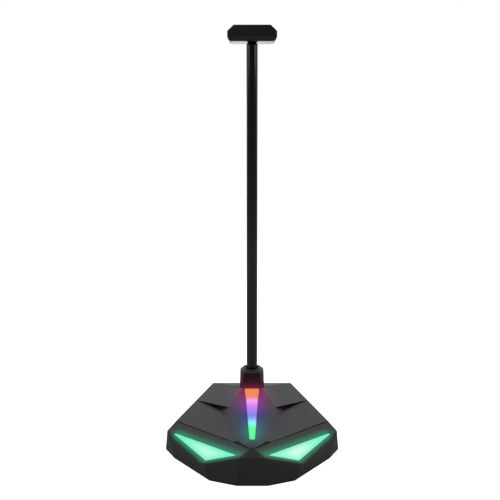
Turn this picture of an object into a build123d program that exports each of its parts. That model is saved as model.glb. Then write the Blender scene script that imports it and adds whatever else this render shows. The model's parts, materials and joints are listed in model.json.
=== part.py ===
from build123d import *
import os

# Headphone stand: a faceted lighted base, a slim post in an octagonal collar, and a cradle.
# Millimetres, +Z up, the viewer stands on the -Y side.
# Origin: bottom centre of the whole stand's bounding box, on the desk.

# ---------------------------------------------------------------- driving sizes
BASE_WIDTH = 117.2          # across the widest points of the base
BASE_DEPTH = 120.5          # nose to rear wall
POST_SETBACK = 20.6         # post axis in front of the rear wall
FOOT_STANDOFF = 0.5         # feet stand proud of the cover
COVER_EDGE = 0.7            # visible edge of the bottom cover
COVER_PLATE = 2.0           # full thickness of the bottom cover
WALL = 2.2                  # wall of the top shell
COVER_SEAT_GAP = 0.3        # cover plug to the shell's inner wall
COVER_INSET = 0.4           # cover edge behind the shell's outer edge
FLANGE_GAP = 0.1            # lens flange to the shell's inner faces

# facet corners of the base: distances back from the nose edge, half widths, heights
NOSE_HALF = 9.6             # half width of the nose panel at the bottom
NOSE_TOP_HALF = 8.4         # half width of the nose panel at its top
NOSE_TOP_BACK = 6.5
NOSE_TOP_Z = 15.7
NOSE_TIP_BACK = 11.6        # apex where the two brows meet
NOSE_TIP_Z = 20.6
CHEEK_BACK = 6.95           # corner between nose cheek and side wall
FLANK_BACK = 37.2           # corner in the side wall
FLANK_INSET = 7.0           # that corner inside the widest point
CHEEK_INSET = 31.4          # cheek corner inside the widest point
WIDEST_BACK = 50.3
CREASE_INSET = 27.8         # lower corner of the eye facet inside the widest point
CREASE_BACK = 12.35
CREASE_Z = 9.45
TEMPLE_BACK = 52.4          # outer lower corner of the face band, on the rear side wall
TEMPLE_Z = 13.3
BROW_INSET = 6.5            # outer end of the brow inside the widest point
BROW_BACK = 58.4
BROW_Z = 17.8
BROW_INNER_X = 7.15         # a point on the brow line near the nose
BROW_INNER_BACK = 16.5
BROW_INNER_Z = 19.67
RIDGE_BACK = 94.9           # highest line of the deck
RIDGE_Z = 28.5
CREST_HALF = 29.1           # rear edge of the deck
CREST_FRONT_OF_REAR = 7.0
CREST_Z = 24.2
REAR_WALL_Z = 14.0          # top of the upright rear wall
SPINE_HALF_REAR = 15.9      # raised spine, half width at the gills
SPINE_BACK_REAR = 63.9
SPINE_HALF_FRONT = 9.2      # raised spine, half width at the front
SPINE_BACK_FRONT = 17.0
SPINE_BEVEL_RUN = 3.0       # slope of the spine's flanks down to the wings
SPINE_BEVEL_DROP = 3.2
GILL_OUTER_BACK = 87.4      # outer end of each gill on the outline
GILL_LIP = 0.55              # deck lip over each gill
GILL_REACH = 5.0            # depth of the gill pocket under the lip
GILL_LAP = 0.5              # pocket started in front of the lip
GILL_SCOOP = 2.4            # dip in the wing in front of each gill's inner end
GILL_DIP = 1.1              # depth of that dip
BROW_GROOVE = 0.55          # width of the shadow groove along the brow
BROW_GROOVE_DEPTH = 0.8

# centre light blade, in the spine's own plane
BLADE_TOP_HALF = 5.45
BLADE_KNEE_HALF = 4.2
BLADE_TIP_HALF = 1.8
BLADE_KNEE_GAP = 16.0       # collar face to the knee
BLADE_LENGTH = 70.3         # collar face to the tip
BLADE_PROUD = 0.4
BLADE_CORE = 4.6            # thickness of the lens
BLADE_TIP_R = 1.2
BLADE_COLLAR_GAP = 0.3
LENS_GAP = 0.15             # lens in its window
LENS_FLANGE = 1.2           # flange thickness behind the wall
LENS_FLANGE_LAP = 1.3       # flange past the window

# eye windows: how far each corner lies inside its corner of the eye facet
EYE_OUTER_INSET = 3.9
EYE_OUTER_BACK = 50.4
EYE_INNER_X = 9.5
EYE_INNER_BACK = 9.65
EYE_LOW_INSET = 29.0
EYE_LOW_BACK = 14.2
EYE_SUNK = 0.15
EYE_CORNER_R = 0.4

# collar and post
COLLAR_SEAT_Z = 26.0        # floor of the pocket in the deck
COLLAR_POCKET_GAP = 0.15
COLLAR_HALF_X = 8.5         # at the shoulder
COLLAR_HALF_Y = 8.3
COLLAR_FRONT_HALF = 6.0     # half width of the front facet
COLLAR_SIDE_HALF = 3.0      # half width of the side facet
COLLAR_SHOULDER_Z = 39.7
COLLAR_TOP_Z = 41.2
COLLAR_SLOPE_IN = 1.9
COLLAR_DRAFT = 0.03         # widening per millimetre going down
COLLAR_RING_R = 5.9
COLLAR_RING_RISE = 0.5
COLLAR_DISH_R = 4.8
COLLAR_DISH_DEPTH = 1.0
POST_R = 3.85
POST_SEAT_Z = 30.0          # shoulder of the post inside the collar
POST_TOP_Z = 271.1          # underside of the cradle
POST_ROUND = 1.5
POST_NECK_R = 2.45
POST_NECK_RISE = 1.6
FIT = 0.05                  # radial clearance of fitted round pieces
STUD_R = 2.5
STUD_END_Z = 14.6
NUT_FLATS = 8.0
NUT_HEIGHT = 4.0
WASHER_R = 6.0
WASHER_T = 1.0
HUB_BOSS_WALL = 1.8         # boss wall round the collar pocket
HUB_BOSS_DROP = 5.0         # boss under the collar pocket

# cradle
CRADLE_WIDTH = 32.4
CRADLE_DEPTH = 39.6
CRADLE_LIP_Z = 10.4         # lip height above the underside
CRADLE_LIP = 2.6
CRADLE_FLOOR = 3.6
CRADLE_TOP_HALF = 12.0      # half width of the lip's top edge
CRADLE_CHAMFER_Z = 3.9      # drop of the lip's corner chamfers
CRADLE_EDGE_R = 3.3
PAD_T = 2.4
PAD_GAP = 0.25
PAD_CROWN = 1.0             # fall of the pad from its middle to its ends
CRADLE_SCREW_R = 1.5
CRADLE_SCREW_HEAD_R = 2.9
CRADLE_SCREW_LENGTH = 12.0

# fasteners, feet and weight
SCREW_R = 1.3
SCREW_HEAD_R = 2.4
SCREW_HEAD_T = 1.1
SCREW_BITE = 7.0
BOSS_R = 3.2
POST_BOSS_R = 2.6           # posts under the main board
SLOT_WIDTH = 0.6
SLOT_LENGTH = 3.2
FOOT_EDGE = 0.25
FOOT_R = 6.0
FOOT_T = 1.5
BALLAST_WIDTH = 44.0
BALLAST_DEPTH = 56.0
BALLAST_T = 4.0
BALLAST_FROM_NOSE = 27.0
BALLAST_NOTCH_R = 3.2       # round the eye boards' posts
BALLAST_HEAD_SINK = 1.4

# electronics
BOARD_WIDTH = 46.0
BOARD_DEPTH = 20.0
BOARD_T = 1.6
BOARD_STANDOFF = 2.3
BOARD_WALL_GAP = 0.5
USB_WIDTH = 13.2
USB_HEIGHT = 5.7
USB_LENGTH = 14.0
USB_SHEET = 0.3
USB_PITCH = 29.0
USB_RECESS = 0.6
TYPE_C_WIDTH = 9.0
TYPE_C_HEIGHT = 3.2
TYPE_C_LENGTH = 7.4
PORT_GAP = 0.35
LED_SIDE = 3.5
LED_T = 1.2
LED_BOARD_T = 1.2
EYE_BOARD_Z = 7.5
EYE_BOARD_LENGTH = 25.0
EYE_BOARD_WIDTH = 8.0
EYE_BOARD_TURN = 42.0       # degrees, along the eye's upper edge
EYE_BOARD_INSET = 27.2      # middle of the eye board inside the widest point
EYE_BOARD_BACK = 32.2
EYE_LAMP_PITCH = 5.4
EYE_PIN_REACH = 9.8         # locating pins each side of the board's middle
EYE_PIN_R = 1.0
EYE_POST_R = 2.2
BLADE_BOARD_DROP = 10.0
BLADE_BOARD_WIDTH = 9.0
BLADE_BOARD_START = 14.0    # from the collar face
BLADE_PEG_R = 1.6
BLADE_PEG_X = 7.8
BLADE_PEG_REACHES = (19.0, BLADE_LENGTH - 4.0)
BLADE_EAR = 4.4
BLADE_LAMPS = 6
BLADE_LAMP_START = 23.5
BLADE_LAMP_PITCH = 8.2
STRIP_WIDTH = 5.0
STRIP_T = 0.5
STRIP_RISE = 1.2            # lead above the main board
LEAD_LANE_X = 17.0          # the leads run forward along this line
LEAD_END_SHIFT = 4.0
LEAD_END_GAP = 2.6
CHIP_SIDE = 7.0
CHIP_T = 1.2
CAN_SIDE = 2.6
CAN_T = 3.0
CRYSTAL = (4.5, 2.0, 1.4)
HEADER = (5.6, 3.6, 3.2)
HEADER_X = 14.4
USB_TONGUE = (11.1, 9.2, 1.84)
USB_TONGUE_DROP = 2.6       # underside of the tongue below the shell's roof
USB_BLOCK = 4.0             # insulating block behind the tongue
SOCKET_BACK = 1.0           # closed back of a socket shell
SEAT_GAP = 0.05             # insulator inside its metal shell
TYPE_C_TONGUE = (6.7, 5.2, 0.7)
TYPE_C_BLOCK = 1.5

# side panel fittings
SIDE_PORT_FROM_CORNER = 34.0  # along the rear side wall, from its rear corner
SIDE_PORT_Z = 10.5
JACK_BORE_R = 1.8
JACK_BARREL_R = 3.0
JACK_BODY = 10.0
JACK_DEPTH = 13.0
JACK_NUT_R = 4.4
JACK_NUT_T = 1.6
BUTTON_R = 3.6
BUTTON_GAP = 0.25
BUTTON_PROUD = 0.9
BUTTON_TRAVEL = 0.5
BUTTON_FLANGE_R = 4.8
BUTTON_FLANGE_T = 0.8
BUTTON_EDGE_R = 0.45
BUTTON_REST_GAP = 0.1       # flange to the wall at rest
PLUNGER_R = 1.2
PLUNGER_REACH = 1.2         # stem showing in front of the switch
PLUNGER_ROOT = 0.8          # stem inside the switch
SWITCH_SIDE = 6.0
SWITCH_T = 3.5
SWITCH_BOARD_WIDTH = 11.0
SWITCH_BOARD_RISE = 5.0     # board above the button's axis
JACK_THREAD_PROUD = 0.3
JACK_BLIND = 1.5            # back wall of the socket
NUT_SLOT = 0.9
NUT_SLOT_DEPTH = 0.7

BIG = 400.0
NOSE_Y = -BASE_DEPTH / 2
REAR_Y = BASE_DEPTH / 2
POST_Y = REAR_Y - POST_SETBACK
SHELL_Z = FOOT_STANDOFF + COVER_EDGE
COVER_TOP_Z = FOOT_STANDOFF + COVER_PLATE
HALF = BASE_WIDTH / 2
CENTRE_DOWN = (Align.CENTER, Align.CENTER, Align.MIN)
CENTRE_UP = (Align.CENTER, Align.CENTER, Align.MAX)
CORE = Vector(0, POST_Y - 40, 10)


# ---------------------------------------------------------------- helpers
def back(distance):
    """Y of a place that far behind the nose edge."""
    return NOSE_Y + distance


def facet(a, b, c):
    """Plane through three points, its normal pointing away from the middle of the base."""
    normal = (b - a).cross(c - a).normalized()
    if normal.dot(CORE - a) > 0:
        normal = normal * -1
    return Plane(origin=a, z_dir=normal)


def shave(body, plane, inset=0.0):
    """Remove all of the body on the outer side of a plane moved inwards by inset."""
    return body - over(plane.offset(-inset))


def slab(low, high):
    """Level slab between two heights."""
    return Pos(0, 0, low) * Box(BIG, BIG, high - low, align=CENTRE_DOWN)


def right_half():
    """Everything on the +X side."""
    return block(BIG / 4, 0, -BIG / 2, BIG / 2, BIG, BIG)


def under(plane):
    """All space on the inner side of a plane."""
    return plane * Box(BIG, BIG, BIG, align=CENTRE_UP)


def over(plane):
    """All space on the outer side of a plane."""
    return plane * Box(BIG, BIG, BIG, align=CENTRE_DOWN)


def rod(x, y, low, high, radius):
    """Upright cylinder."""
    return Pos(x, y, low) * Cylinder(radius, high - low, align=CENTRE_DOWN)


def block(x, y, low, size_x, size_y, size_z):
    """Upright block centred on x, y and standing on a height."""
    return Pos(x, y, low) * Box(size_x, size_y, size_z, align=CENTRE_DOWN)


def flipped(point):
    """The same place on the other side."""
    return Vector(-point.X, point.Y, point.Z)


def other_side(body):
    """The mirrored body on the other side."""
    return mirror(body, about=Plane.YZ)


def on_facet(plane, x, y):
    """Point of a facet plane above x, y."""
    n = plane.z_dir
    o = plane.origin
    z = o.Z - (n.X * (x - o.X) + n.Y * (y - o.Y)) / n.Z
    return Vector(x, y, z)


# ---------------------------------------------------------------- facet corners
nose_low = Vector(NOSE_HALF, back(0), SHELL_Z)
cheek_low = Vector(HALF - CHEEK_INSET, back(CHEEK_BACK), SHELL_Z)
flank_low = Vector(HALF - FLANK_INSET, back(FLANK_BACK), SHELL_Z)
widest_low = Vector(HALF, back(WIDEST_BACK), SHELL_Z)
nose_top = Vector(NOSE_TOP_HALF, back(NOSE_TOP_BACK), NOSE_TOP_Z)
nose_tip = Vector(0, back(NOSE_TIP_BACK), NOSE_TIP_Z)
crease = Vector(HALF - CREASE_INSET, back(CREASE_BACK), CREASE_Z)
brow_inner = Vector(BROW_INNER_X, back(BROW_INNER_BACK), BROW_INNER_Z)
ridge = Vector(0, back(RIDGE_BACK), RIDGE_Z)
crest = Vector(CREST_HALF, REAR_Y - CREST_FRONT_OF_REAR, CREST_Z)


def on_rear_side(distance, z):
    """Point of the upright rear side wall, that far behind the nose edge."""
    share = (back(distance) - widest_low.Y) / (crest.Y - widest_low.Y)
    return Vector(widest_low.X + share * (crest.X - widest_low.X), back(distance), z)


temple = on_rear_side(TEMPLE_BACK, TEMPLE_Z)
brow = Vector(HALF - BROW_INSET, back(BROW_BACK), BROW_Z)
sill = Vector(0, REAR_Y, REAR_WALL_Z)
across = Vector(1, 0, 0)


def spine_z(y):
    """Height of the spine's flat top at y."""
    rise = (RIDGE_Z - NOSE_TIP_Z) / (RIDGE_BACK - NOSE_TIP_BACK)
    return NOSE_TIP_Z + rise * (y - nose_tip.Y)


gill_inner = Vector(SPINE_HALF_REAR, back(SPINE_BACK_REAR), spine_z(back(SPINE_BACK_REAR)))
gill_share = (back(GILL_OUTER_BACK) - brow.Y) / (crest.Y - brow.Y)
gill_outer = brow + (crest - brow) * gill_share
spine_front = Vector(SPINE_HALF_FRONT, back(SPINE_BACK_FRONT), spine_z(back(SPINE_BACK_FRONT)))

eye_facet = facet(nose_tip, crease, temple)
spine_facet = facet(nose_tip, nose_tip + across, ridge)
rear_deck_facet = facet(ridge, ridge + across, crest)
shoulder_facet = facet(crest, gill_outer, gill_inner)
wing_facet = facet(brow, crest, brow_inner)
rear_side_facet = facet(widest_low, crest, crest - Vector(0, 0, 10))
outline_facet = facet(temple, brow, crest)
bevel_facet = facet(gill_inner, spine_front, gill_inner + Vector(SPINE_BEVEL_RUN, 0, -SPINE_BEVEL_DROP))

centre_facets = [
    facet(nose_low, flipped(nose_low), nose_top),
    facet(nose_top, flipped(nose_top), nose_tip),
    spine_facet,
    rear_deck_facet,
    facet(crest, flipped(crest), sill),
    facet(sill, sill + across, sill - Vector(0, 0, 10)),
]
side_facets = [
    facet(nose_low, cheek_low, nose_top),
    facet(cheek_low, flank_low, crease),
    facet(flank_low, temple, crease),
    facet(flank_low, widest_low, temple),
    rear_side_facet,
    outline_facet,
    shoulder_facet,
]


def swap_side(plane):
    """The mirror image of a facet plane."""
    return Plane(origin=flipped(plane.origin), z_dir=flipped(plane.z_dir))


def wing_recess(drop, side_gap, reach):
    """Sunken wing on the +X side: floor lowered by drop, edges moved by side_gap and reach."""
    body = right_half() - under(wing_facet.offset(-drop))
    body = body - under(bevel_facet.offset(-side_gap))
    toward_rear = Plane(origin=gill_inner, z_dir=level_across(gill_inner, gill_outer))
    return body - over(toward_rear.offset(reach))


def face_band(inset):
    """Space over the +X face band, in front of the brow, its faces moved in by inset."""
    behind = Plane(origin=brow_inner, z_dir=level_across(brow_inner, brow))
    body = right_half() - under(eye_facet.offset(-inset))
    return body - over(behind.offset(inset))


def level_across(start, end):
    """Level direction across a run that leads outwards, pointing to the rear."""
    run = end - start
    return Vector(-run.Y, run.X, 0).normalized()


def faceted_block(inset, low):
    """The base's outer form, every facet moved inwards by inset, standing on a height."""
    body = block(0, 0, low, BIG, BIG, BIG)
    for plane in centre_facets:
        body = shave(body, plane, inset)
    for plane in side_facets:
        body = shave(body, plane, inset)
        body = shave(body, swap_side(plane), inset)
    band = face_band(inset)
    return body - band - other_side(band)


# ---------------------------------------------------------------- lens outlines
def local_outline(plane, points, grow=0.0, corner=0.0):
    """Face in a plane through points given in space, grown evenly, with rounded corners."""
    flat = [plane.to_local_coords(p) for p in points]
    face = make_face(Polyline(*[(p.X, p.Y) for p in flat], close=True))
    if grow:
        face = offset(face, amount=grow, kind=Kind.INTERSECTION)
    if corner:
        face = fillet(face.vertices(), corner)
    return plane * face


eye_frame = Plane(origin=crease, z_dir=eye_facet.z_dir)
eye_corners = [
    on_facet(eye_facet, HALF - EYE_OUTER_INSET, back(EYE_OUTER_BACK)),
    on_facet(eye_facet, EYE_INNER_X, back(EYE_INNER_BACK)),
    on_facet(eye_facet, HALF - EYE_LOW_INSET, back(EYE_LOW_BACK)),
]
collar_face_y = POST_Y - COLLAR_HALF_Y - COLLAR_DRAFT * (COLLAR_SHOULDER_Z - COLLAR_SEAT_Z)
blade_frame = Plane(
    origin=Vector(0, collar_face_y, spine_z(collar_face_y)),
    x_dir=(1, 0, 0),
    z_dir=spine_facet.z_dir,
)


def blade_outline(grow=0.0):
    """Tapered outline of the centre light, from the collar to its round tip."""
    points = [
        (BLADE_TOP_HALF, -BLADE_COLLAR_GAP),
        (BLADE_KNEE_HALF, -BLADE_KNEE_GAP),
        (BLADE_TIP_HALF, -BLADE_LENGTH),
    ]
    loop = points + [(-x, y) for x, y in reversed(points)]
    face = make_face(Polyline(*loop, close=True))
    tip = face.vertices().sort_by(Axis.Y)[:2]
    face = fillet(tip, BLADE_TIP_R)
    if grow:
        face = offset(face, amount=grow, kind=Kind.INTERSECTION)
    return blade_frame * face


def slab_along(face, normal, top, bottom):
    """Prism of a face between two heights measured along its plane's normal."""
    lifted = Pos(*(normal * top)) * face
    return extrude(lifted, amount=top - bottom, dir=normal * -1)


# ---------------------------------------------------------------- side panel frame
side_run = crest - widest_low
side_run = Vector(side_run.X, side_run.Y, 0).normalized()
rear_corner = crest + side_run * ((REAR_Y - crest.Y) / side_run.Y)
side_origin = rear_corner - side_run * SIDE_PORT_FROM_CORNER
side_frame = Plane(
    origin=Vector(side_origin.X, side_origin.Y, SIDE_PORT_Z),
    x_dir=side_run,
    z_dir=rear_side_facet.z_dir,
)
left_side_frame = swap_side(side_frame)
wall_inside = -WALL


def out_rod(frame, inner, outer, radius):
    """Cylinder on the axis of a side fitting, between two depths along its normal."""
    return frame.offset(inner) * Cylinder(radius, outer - inner, align=CENTRE_DOWN)


# ---------------------------------------------------------------- screw and foot places
housing_screws_at = [
    (HALF - 15.6, back(53.9)),
    (-(HALF - 15.6), back(53.9)),
    (CREST_HALF - 2.1, REAR_Y - 16.6),
    (-(CREST_HALF - 2.1), REAR_Y - 16.6),
    (0, back(15.5)),
]
feet_at = [
    (CREST_HALF - 11.5, REAR_Y - 11.5),
    (-(CREST_HALF - 11.5), REAR_Y - 11.5),
    (HALF - 15.5, back(45.0)),
    (-(HALF - 15.5), back(45.0)),
    (0, back(26.5)),
]
board_y = REAR_Y - WALL - BOARD_WALL_GAP - BOARD_DEPTH / 2
board_z = COVER_TOP_Z + BOARD_STANDOFF
board_top = board_z + BOARD_T
board_screws_at = [
    (side * (BOARD_WIDTH / 2 - BOSS_R), board_y - BOARD_DEPTH / 2 + BOSS_R)
    for side in (-1, 1)
]
ballast_y = back(BALLAST_FROM_NOSE) + BALLAST_DEPTH / 2
ballast_screws_at = [
    (x, ballast_y + y)
    for x in (-BALLAST_WIDTH / 2 + 6, BALLAST_WIDTH / 2 - 6)
    for y in (-BALLAST_DEPTH / 2 + 14, BALLAST_DEPTH / 2 - 6)
]
eye_board_at = (HALF - EYE_BOARD_INSET, back(EYE_BOARD_BACK))
eye_board_base = Pos(eye_board_at[0], eye_board_at[1], 0) * Rot(0, 0, EYE_BOARD_TURN)
eye_pins_at = [
    (side * at.X, at.Y)
    for at in [(eye_board_base * Pos(s * EYE_PIN_REACH, 0, 0)).position for s in (-1, 1)]
    for side in (1, -1)
]
usb_x = [-USB_PITCH / 2, USB_PITCH / 2]
usb_mouth_y = REAR_Y - USB_RECESS


# ---------------------------------------------------------------- collar and post
def collar_form(grow=0.0, low=COLLAR_SEAT_Z):
    """Octagonal drafted block of the collar, grown evenly, from a height to its top."""
    body = block(0, POST_Y, low, 60, 60, COLLAR_TOP_Z - low)
    centre = Vector(0, POST_Y, COLLAR_SHOULDER_Z)
    front = Vector(COLLAR_FRONT_HALF, COLLAR_HALF_Y, 0)
    side = Vector(COLLAR_HALF_X, COLLAR_SIDE_HALF, 0)
    corner_run = front - side
    directions = [
        (Vector(1, 0, 0), COLLAR_HALF_X),
        (Vector(0, 1, 0), COLLAR_HALF_Y),
    ]
    slant = Vector(corner_run.Y, -corner_run.X, 0).normalized()
    directions.append((slant, slant.dot(side)))
    directions.append((Vector(slant.X, -slant.Y, 0), slant.dot(side)))
    for way, reach in directions:
        for sign in (1, -1):
            out = way * sign
            at = centre + out * (reach + grow)
            wall = Plane(origin=at, z_dir=out + Vector(0, 0, COLLAR_DRAFT))
            slope = Vector(0, 0, COLLAR_SLOPE_IN) + out * (COLLAR_TOP_Z - COLLAR_SHOULDER_Z)
            body = shave(body, wall)
            body = shave(body, Plane(origin=at, z_dir=slope))
    return body


def make_collar():
    """Collar with a raised ring, a dished mouth, a bore for the post and a hole for its stud."""
    body = collar_form()
    body = body + rod(0, POST_Y, COLLAR_TOP_Z - 2, COLLAR_TOP_Z + COLLAR_RING_RISE, COLLAR_RING_R)
    top = COLLAR_TOP_Z + COLLAR_RING_RISE
    body = body - rod(0, POST_Y, POST_SEAT_Z, top + 1, POST_R + FIT)
    body = body - rod(0, POST_Y, top - COLLAR_DISH_DEPTH, top + 1, COLLAR_DISH_R)
    body = body - rod(0, POST_Y, COLLAR_SEAT_Z - 1, POST_SEAT_Z + 1, STUD_R + FIT)
    return body


def make_post():
    """Steel post with a rounded top, a neck that enters the cradle and a stud below."""
    body = rod(0, POST_Y, POST_SEAT_Z, POST_TOP_Z, POST_R)
    top_edge = body.edges().filter_by(GeomType.CIRCLE).sort_by(Axis.Z)[-1]
    body = fillet(top_edge, min(POST_ROUND, POST_R - POST_NECK_R + 0.2))
    body = body + rod(0, POST_Y, POST_TOP_Z - 1, POST_TOP_Z + POST_NECK_RISE, POST_NECK_R)
    body = body + rod(0, POST_Y, STUD_END_Z, POST_SEAT_Z + 1, STUD_R)
    bore_low = POST_TOP_Z + POST_NECK_RISE - CRADLE_SCREW_LENGTH
    body = body - rod(0, POST_Y, bore_low, POST_TOP_Z + 10, CRADLE_SCREW_R + FIT)
    return body


washer_top = COLLAR_SEAT_Z - HUB_BOSS_DROP


def make_washer():
    """Plain washer under the hub boss."""
    body = rod(0, POST_Y, washer_top - WASHER_T, washer_top, WASHER_R)
    return body - rod(0, POST_Y, washer_top - 5, washer_top + 5, STUD_R + FIT)


def make_nut():
    """Hexagon nut that clamps post, collar and shell."""
    hexagon = RegularPolygon(NUT_FLATS / 2, 6, major_radius=False)
    low = washer_top - WASHER_T - NUT_HEIGHT
    body = extrude(Pos(0, POST_Y, low) * hexagon, amount=NUT_HEIGHT)
    return body - rod(0, POST_Y, low - 1, low + NUT_HEIGHT + 1, STUD_R + FIT)


# ---------------------------------------------------------------- top shell
def brow_groove():
    """Narrow trench just behind the brow line, from the outline to the nose."""
    along = brow - brow_inner
    start = brow + along
    down = Vector(0, 0, BROW_GROOVE_DEPTH)
    up = Vector(0, 0, RIDGE_Z)
    low = [start + along.normalized() - down, brow_inner - down]
    high = [brow_inner + up, start + along.normalized() + up]
    face = make_face(Polyline(*(low + high), close=True))
    return extrude(face, amount=BROW_GROOVE, dir=level_across(brow_inner, brow))


def gill_pocket():
    """Wedge-shaped pocket under the deck lip, open to the wing."""
    body = wing_recess(0.0, 0.0, GILL_REACH) - over(shoulder_facet.offset(-GILL_LIP))
    front = Plane(origin=gill_inner, z_dir=level_across(gill_inner, gill_outer))
    return body - under(front.offset(-GILL_LAP))


def gill_scoop():
    """Dip in the wing that leads down to the gill, from nothing at the gill's outer end."""
    toward_rear = level_across(gill_inner, gill_outer)
    start = gill_inner - toward_rear * GILL_SCOOP
    low = on_facet(wing_facet, gill_inner.X, gill_inner.Y) - Vector(0, 0, GILL_DIP)
    floor = facet(gill_outer, on_facet(wing_facet, start.X, start.Y), low)
    body = right_half() - under(floor) - under(bevel_facet)
    body = body - over(Plane(origin=gill_inner, z_dir=toward_rear).offset(GILL_LAP))
    return body - over(shoulder_facet.offset(-GILL_LIP))


def port_window(x, mid_z, width, height):
    """Opening in the rear wall round a socket."""
    return Pos(x, REAR_Y, mid_z) * Box(width + 2 * PORT_GAP, 3 * WALL, height + 2 * PORT_GAP)


usb_mid_z = board_top + USB_HEIGHT / 2
type_c_mid_z = board_top + TYPE_C_HEIGHT / 2


def make_top_shell():
    """Hollow faceted shell with wings, gills, brow grooves, windows, bosses and ports."""
    outer = faceted_block(0.0, SHELL_Z)
    recess = wing_recess(0.0, 0.0, 0.0)
    pocket = gill_pocket()
    scoop = gill_scoop()
    groove = brow_groove()
    for tool in (recess, pocket, scoop, groove):
        outer = outer - tool - other_side(tool)

    cavity = faceted_block(WALL, SHELL_Z - 1)
    kept = wing_recess(WALL, WALL, GILL_REACH + WALL)
    cavity = cavity - kept - other_side(kept)
    cavity = cavity - collar_form(HUB_BOSS_WALL, washer_top)
    for x, y in housing_screws_at:
        cavity = cavity - rod(x, y, COVER_TOP_Z, RIDGE_Z + 5, BOSS_R)
    for place in blade_board_posts():
        cavity = cavity - place
    body = outer - cavity

    body = body - collar_form(COLLAR_POCKET_GAP)
    body = body - rod(0, POST_Y, 0, BIG, STUD_R + FIT)
    for x, y in housing_screws_at:
        body = body - rod(x, y, 0, FOOT_STANDOFF + SCREW_BITE + 2, SCREW_R + FIT)

    eye = local_outline(eye_frame, eye_corners, corner=EYE_CORNER_R)
    eye_window = slab_along(eye, eye_facet.z_dir, WALL, -WALL - LENS_FLANGE)
    body = body - eye_window - other_side(eye_window)
    body = body - slab_along(blade_outline(), spine_facet.z_dir, WALL, -BLADE_CORE)

    for x in usb_x:
        body = body - port_window(x, usb_mid_z, USB_WIDTH, USB_HEIGHT)
    body = body - port_window(0, type_c_mid_z, TYPE_C_WIDTH, TYPE_C_HEIGHT)
    body = body - out_rod(side_frame, -3 * WALL, 2 * WALL, BUTTON_R + BUTTON_GAP)
    body = body - out_rod(left_side_frame, -3 * WALL, 2 * WALL, JACK_BARREL_R + FIT)
    return body


# ---------------------------------------------------------------- lenses and light boards
def make_eye_lens():
    """Frosted triangular lens with a flange behind the wall, +X side."""
    normal = eye_facet.z_dir
    lens = local_outline(eye_frame, eye_corners, grow=-LENS_GAP, corner=EYE_CORNER_R)
    flange = local_outline(eye_frame, eye_corners, grow=LENS_FLANGE_LAP)
    body = slab_along(lens, normal, -EYE_SUNK, -WALL - LENS_FLANGE)
    flange = slab_along(flange, normal, -WALL, -WALL - LENS_FLANGE)
    return body + (flange & faceted_block(WALL + FLANGE_GAP, SHELL_Z))


def make_blade_lens():
    """Long tapered frosted lens on the spine, slightly proud, with a flange below."""
    normal = spine_facet.z_dir
    lens = slab_along(blade_outline(-LENS_GAP), normal, BLADE_PROUD, BLADE_PROUD - BLADE_CORE)
    flange = slab_along(blade_outline(LENS_FLANGE_LAP), normal, -WALL, -WALL - LENS_FLANGE)
    return lens + (flange - collar_form(HUB_BOSS_WALL + FLANGE_GAP, SHELL_Z))


def blade_board_frame(depth):
    """Frame on the underside of the spine, that far below the deck."""
    return blade_frame.offset(-depth)


def blade_board_posts():
    """Four pegs under the spine that carry the blade's light board."""
    frame = blade_board_frame(BLADE_BOARD_DROP)
    peg = Cylinder(BLADE_PEG_R, 2 * BLADE_BOARD_DROP, align=CENTRE_DOWN)
    return [
        frame * Pos(side * BLADE_PEG_X, -reach, 0) * peg
        for reach in BLADE_PEG_REACHES
        for side in (1, -1)
    ]


def make_blade_board():
    """Long light board held against four pegs under the spine."""
    length = BLADE_LENGTH - BLADE_BOARD_START
    frame = blade_board_frame(BLADE_BOARD_DROP)
    body = frame * Pos(0, -BLADE_BOARD_START - length / 2, -LED_BOARD_T) * Box(
        BLADE_BOARD_WIDTH, length, LED_BOARD_T, align=CENTRE_DOWN
    )
    ear = Box(2 * (BLADE_PEG_X + BLADE_PEG_R), BLADE_EAR, LED_BOARD_T, align=CENTRE_DOWN)
    for reach in BLADE_PEG_REACHES:
        body = body + frame * Pos(0, -reach, -LED_BOARD_T) * ear
    return body


def make_blade_leds():
    """Row of surface-mounted lamps on the blade's board."""
    frame = blade_board_frame(BLADE_BOARD_DROP)
    lamps = []
    for i in range(BLADE_LAMPS):
        y = -(BLADE_LAMP_START + BLADE_LAMP_PITCH * i)
        lamps.append(frame * Pos(0, y, 0) * Box(LED_SIDE, LED_SIDE, LED_T, align=CENTRE_DOWN))
    return Compound(children=lamps)


def eye_board_frame():
    """Level frame along the +X eye's upper edge."""
    return Pos(0, 0, EYE_BOARD_Z) * eye_board_base


def make_eye_board():
    """Level light board under the +X eye, with two pin holes."""
    body = eye_board_frame() * Box(EYE_BOARD_LENGTH, EYE_BOARD_WIDTH, LED_BOARD_T, align=CENTRE_DOWN)
    for x, y in eye_pins_at:
        body = body - rod(x, y, 0, BIG, EYE_PIN_R + FIT)
    return body


def make_eye_leds():
    """Three lamps on the +X eye's board."""
    frame = eye_board_frame()
    lamps = []
    for x in (-EYE_LAMP_PITCH, 0, EYE_LAMP_PITCH):
        lamp = Box(LED_SIDE, LED_SIDE, LED_T, align=CENTRE_DOWN)
        lamps.append(frame * Pos(x, 0, LED_BOARD_T) * lamp)
    return Compound(children=lamps)


# ---------------------------------------------------------------- bottom cover and weight
screw_pit_z = FOOT_STANDOFF + COVER_PLATE / 2


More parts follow.
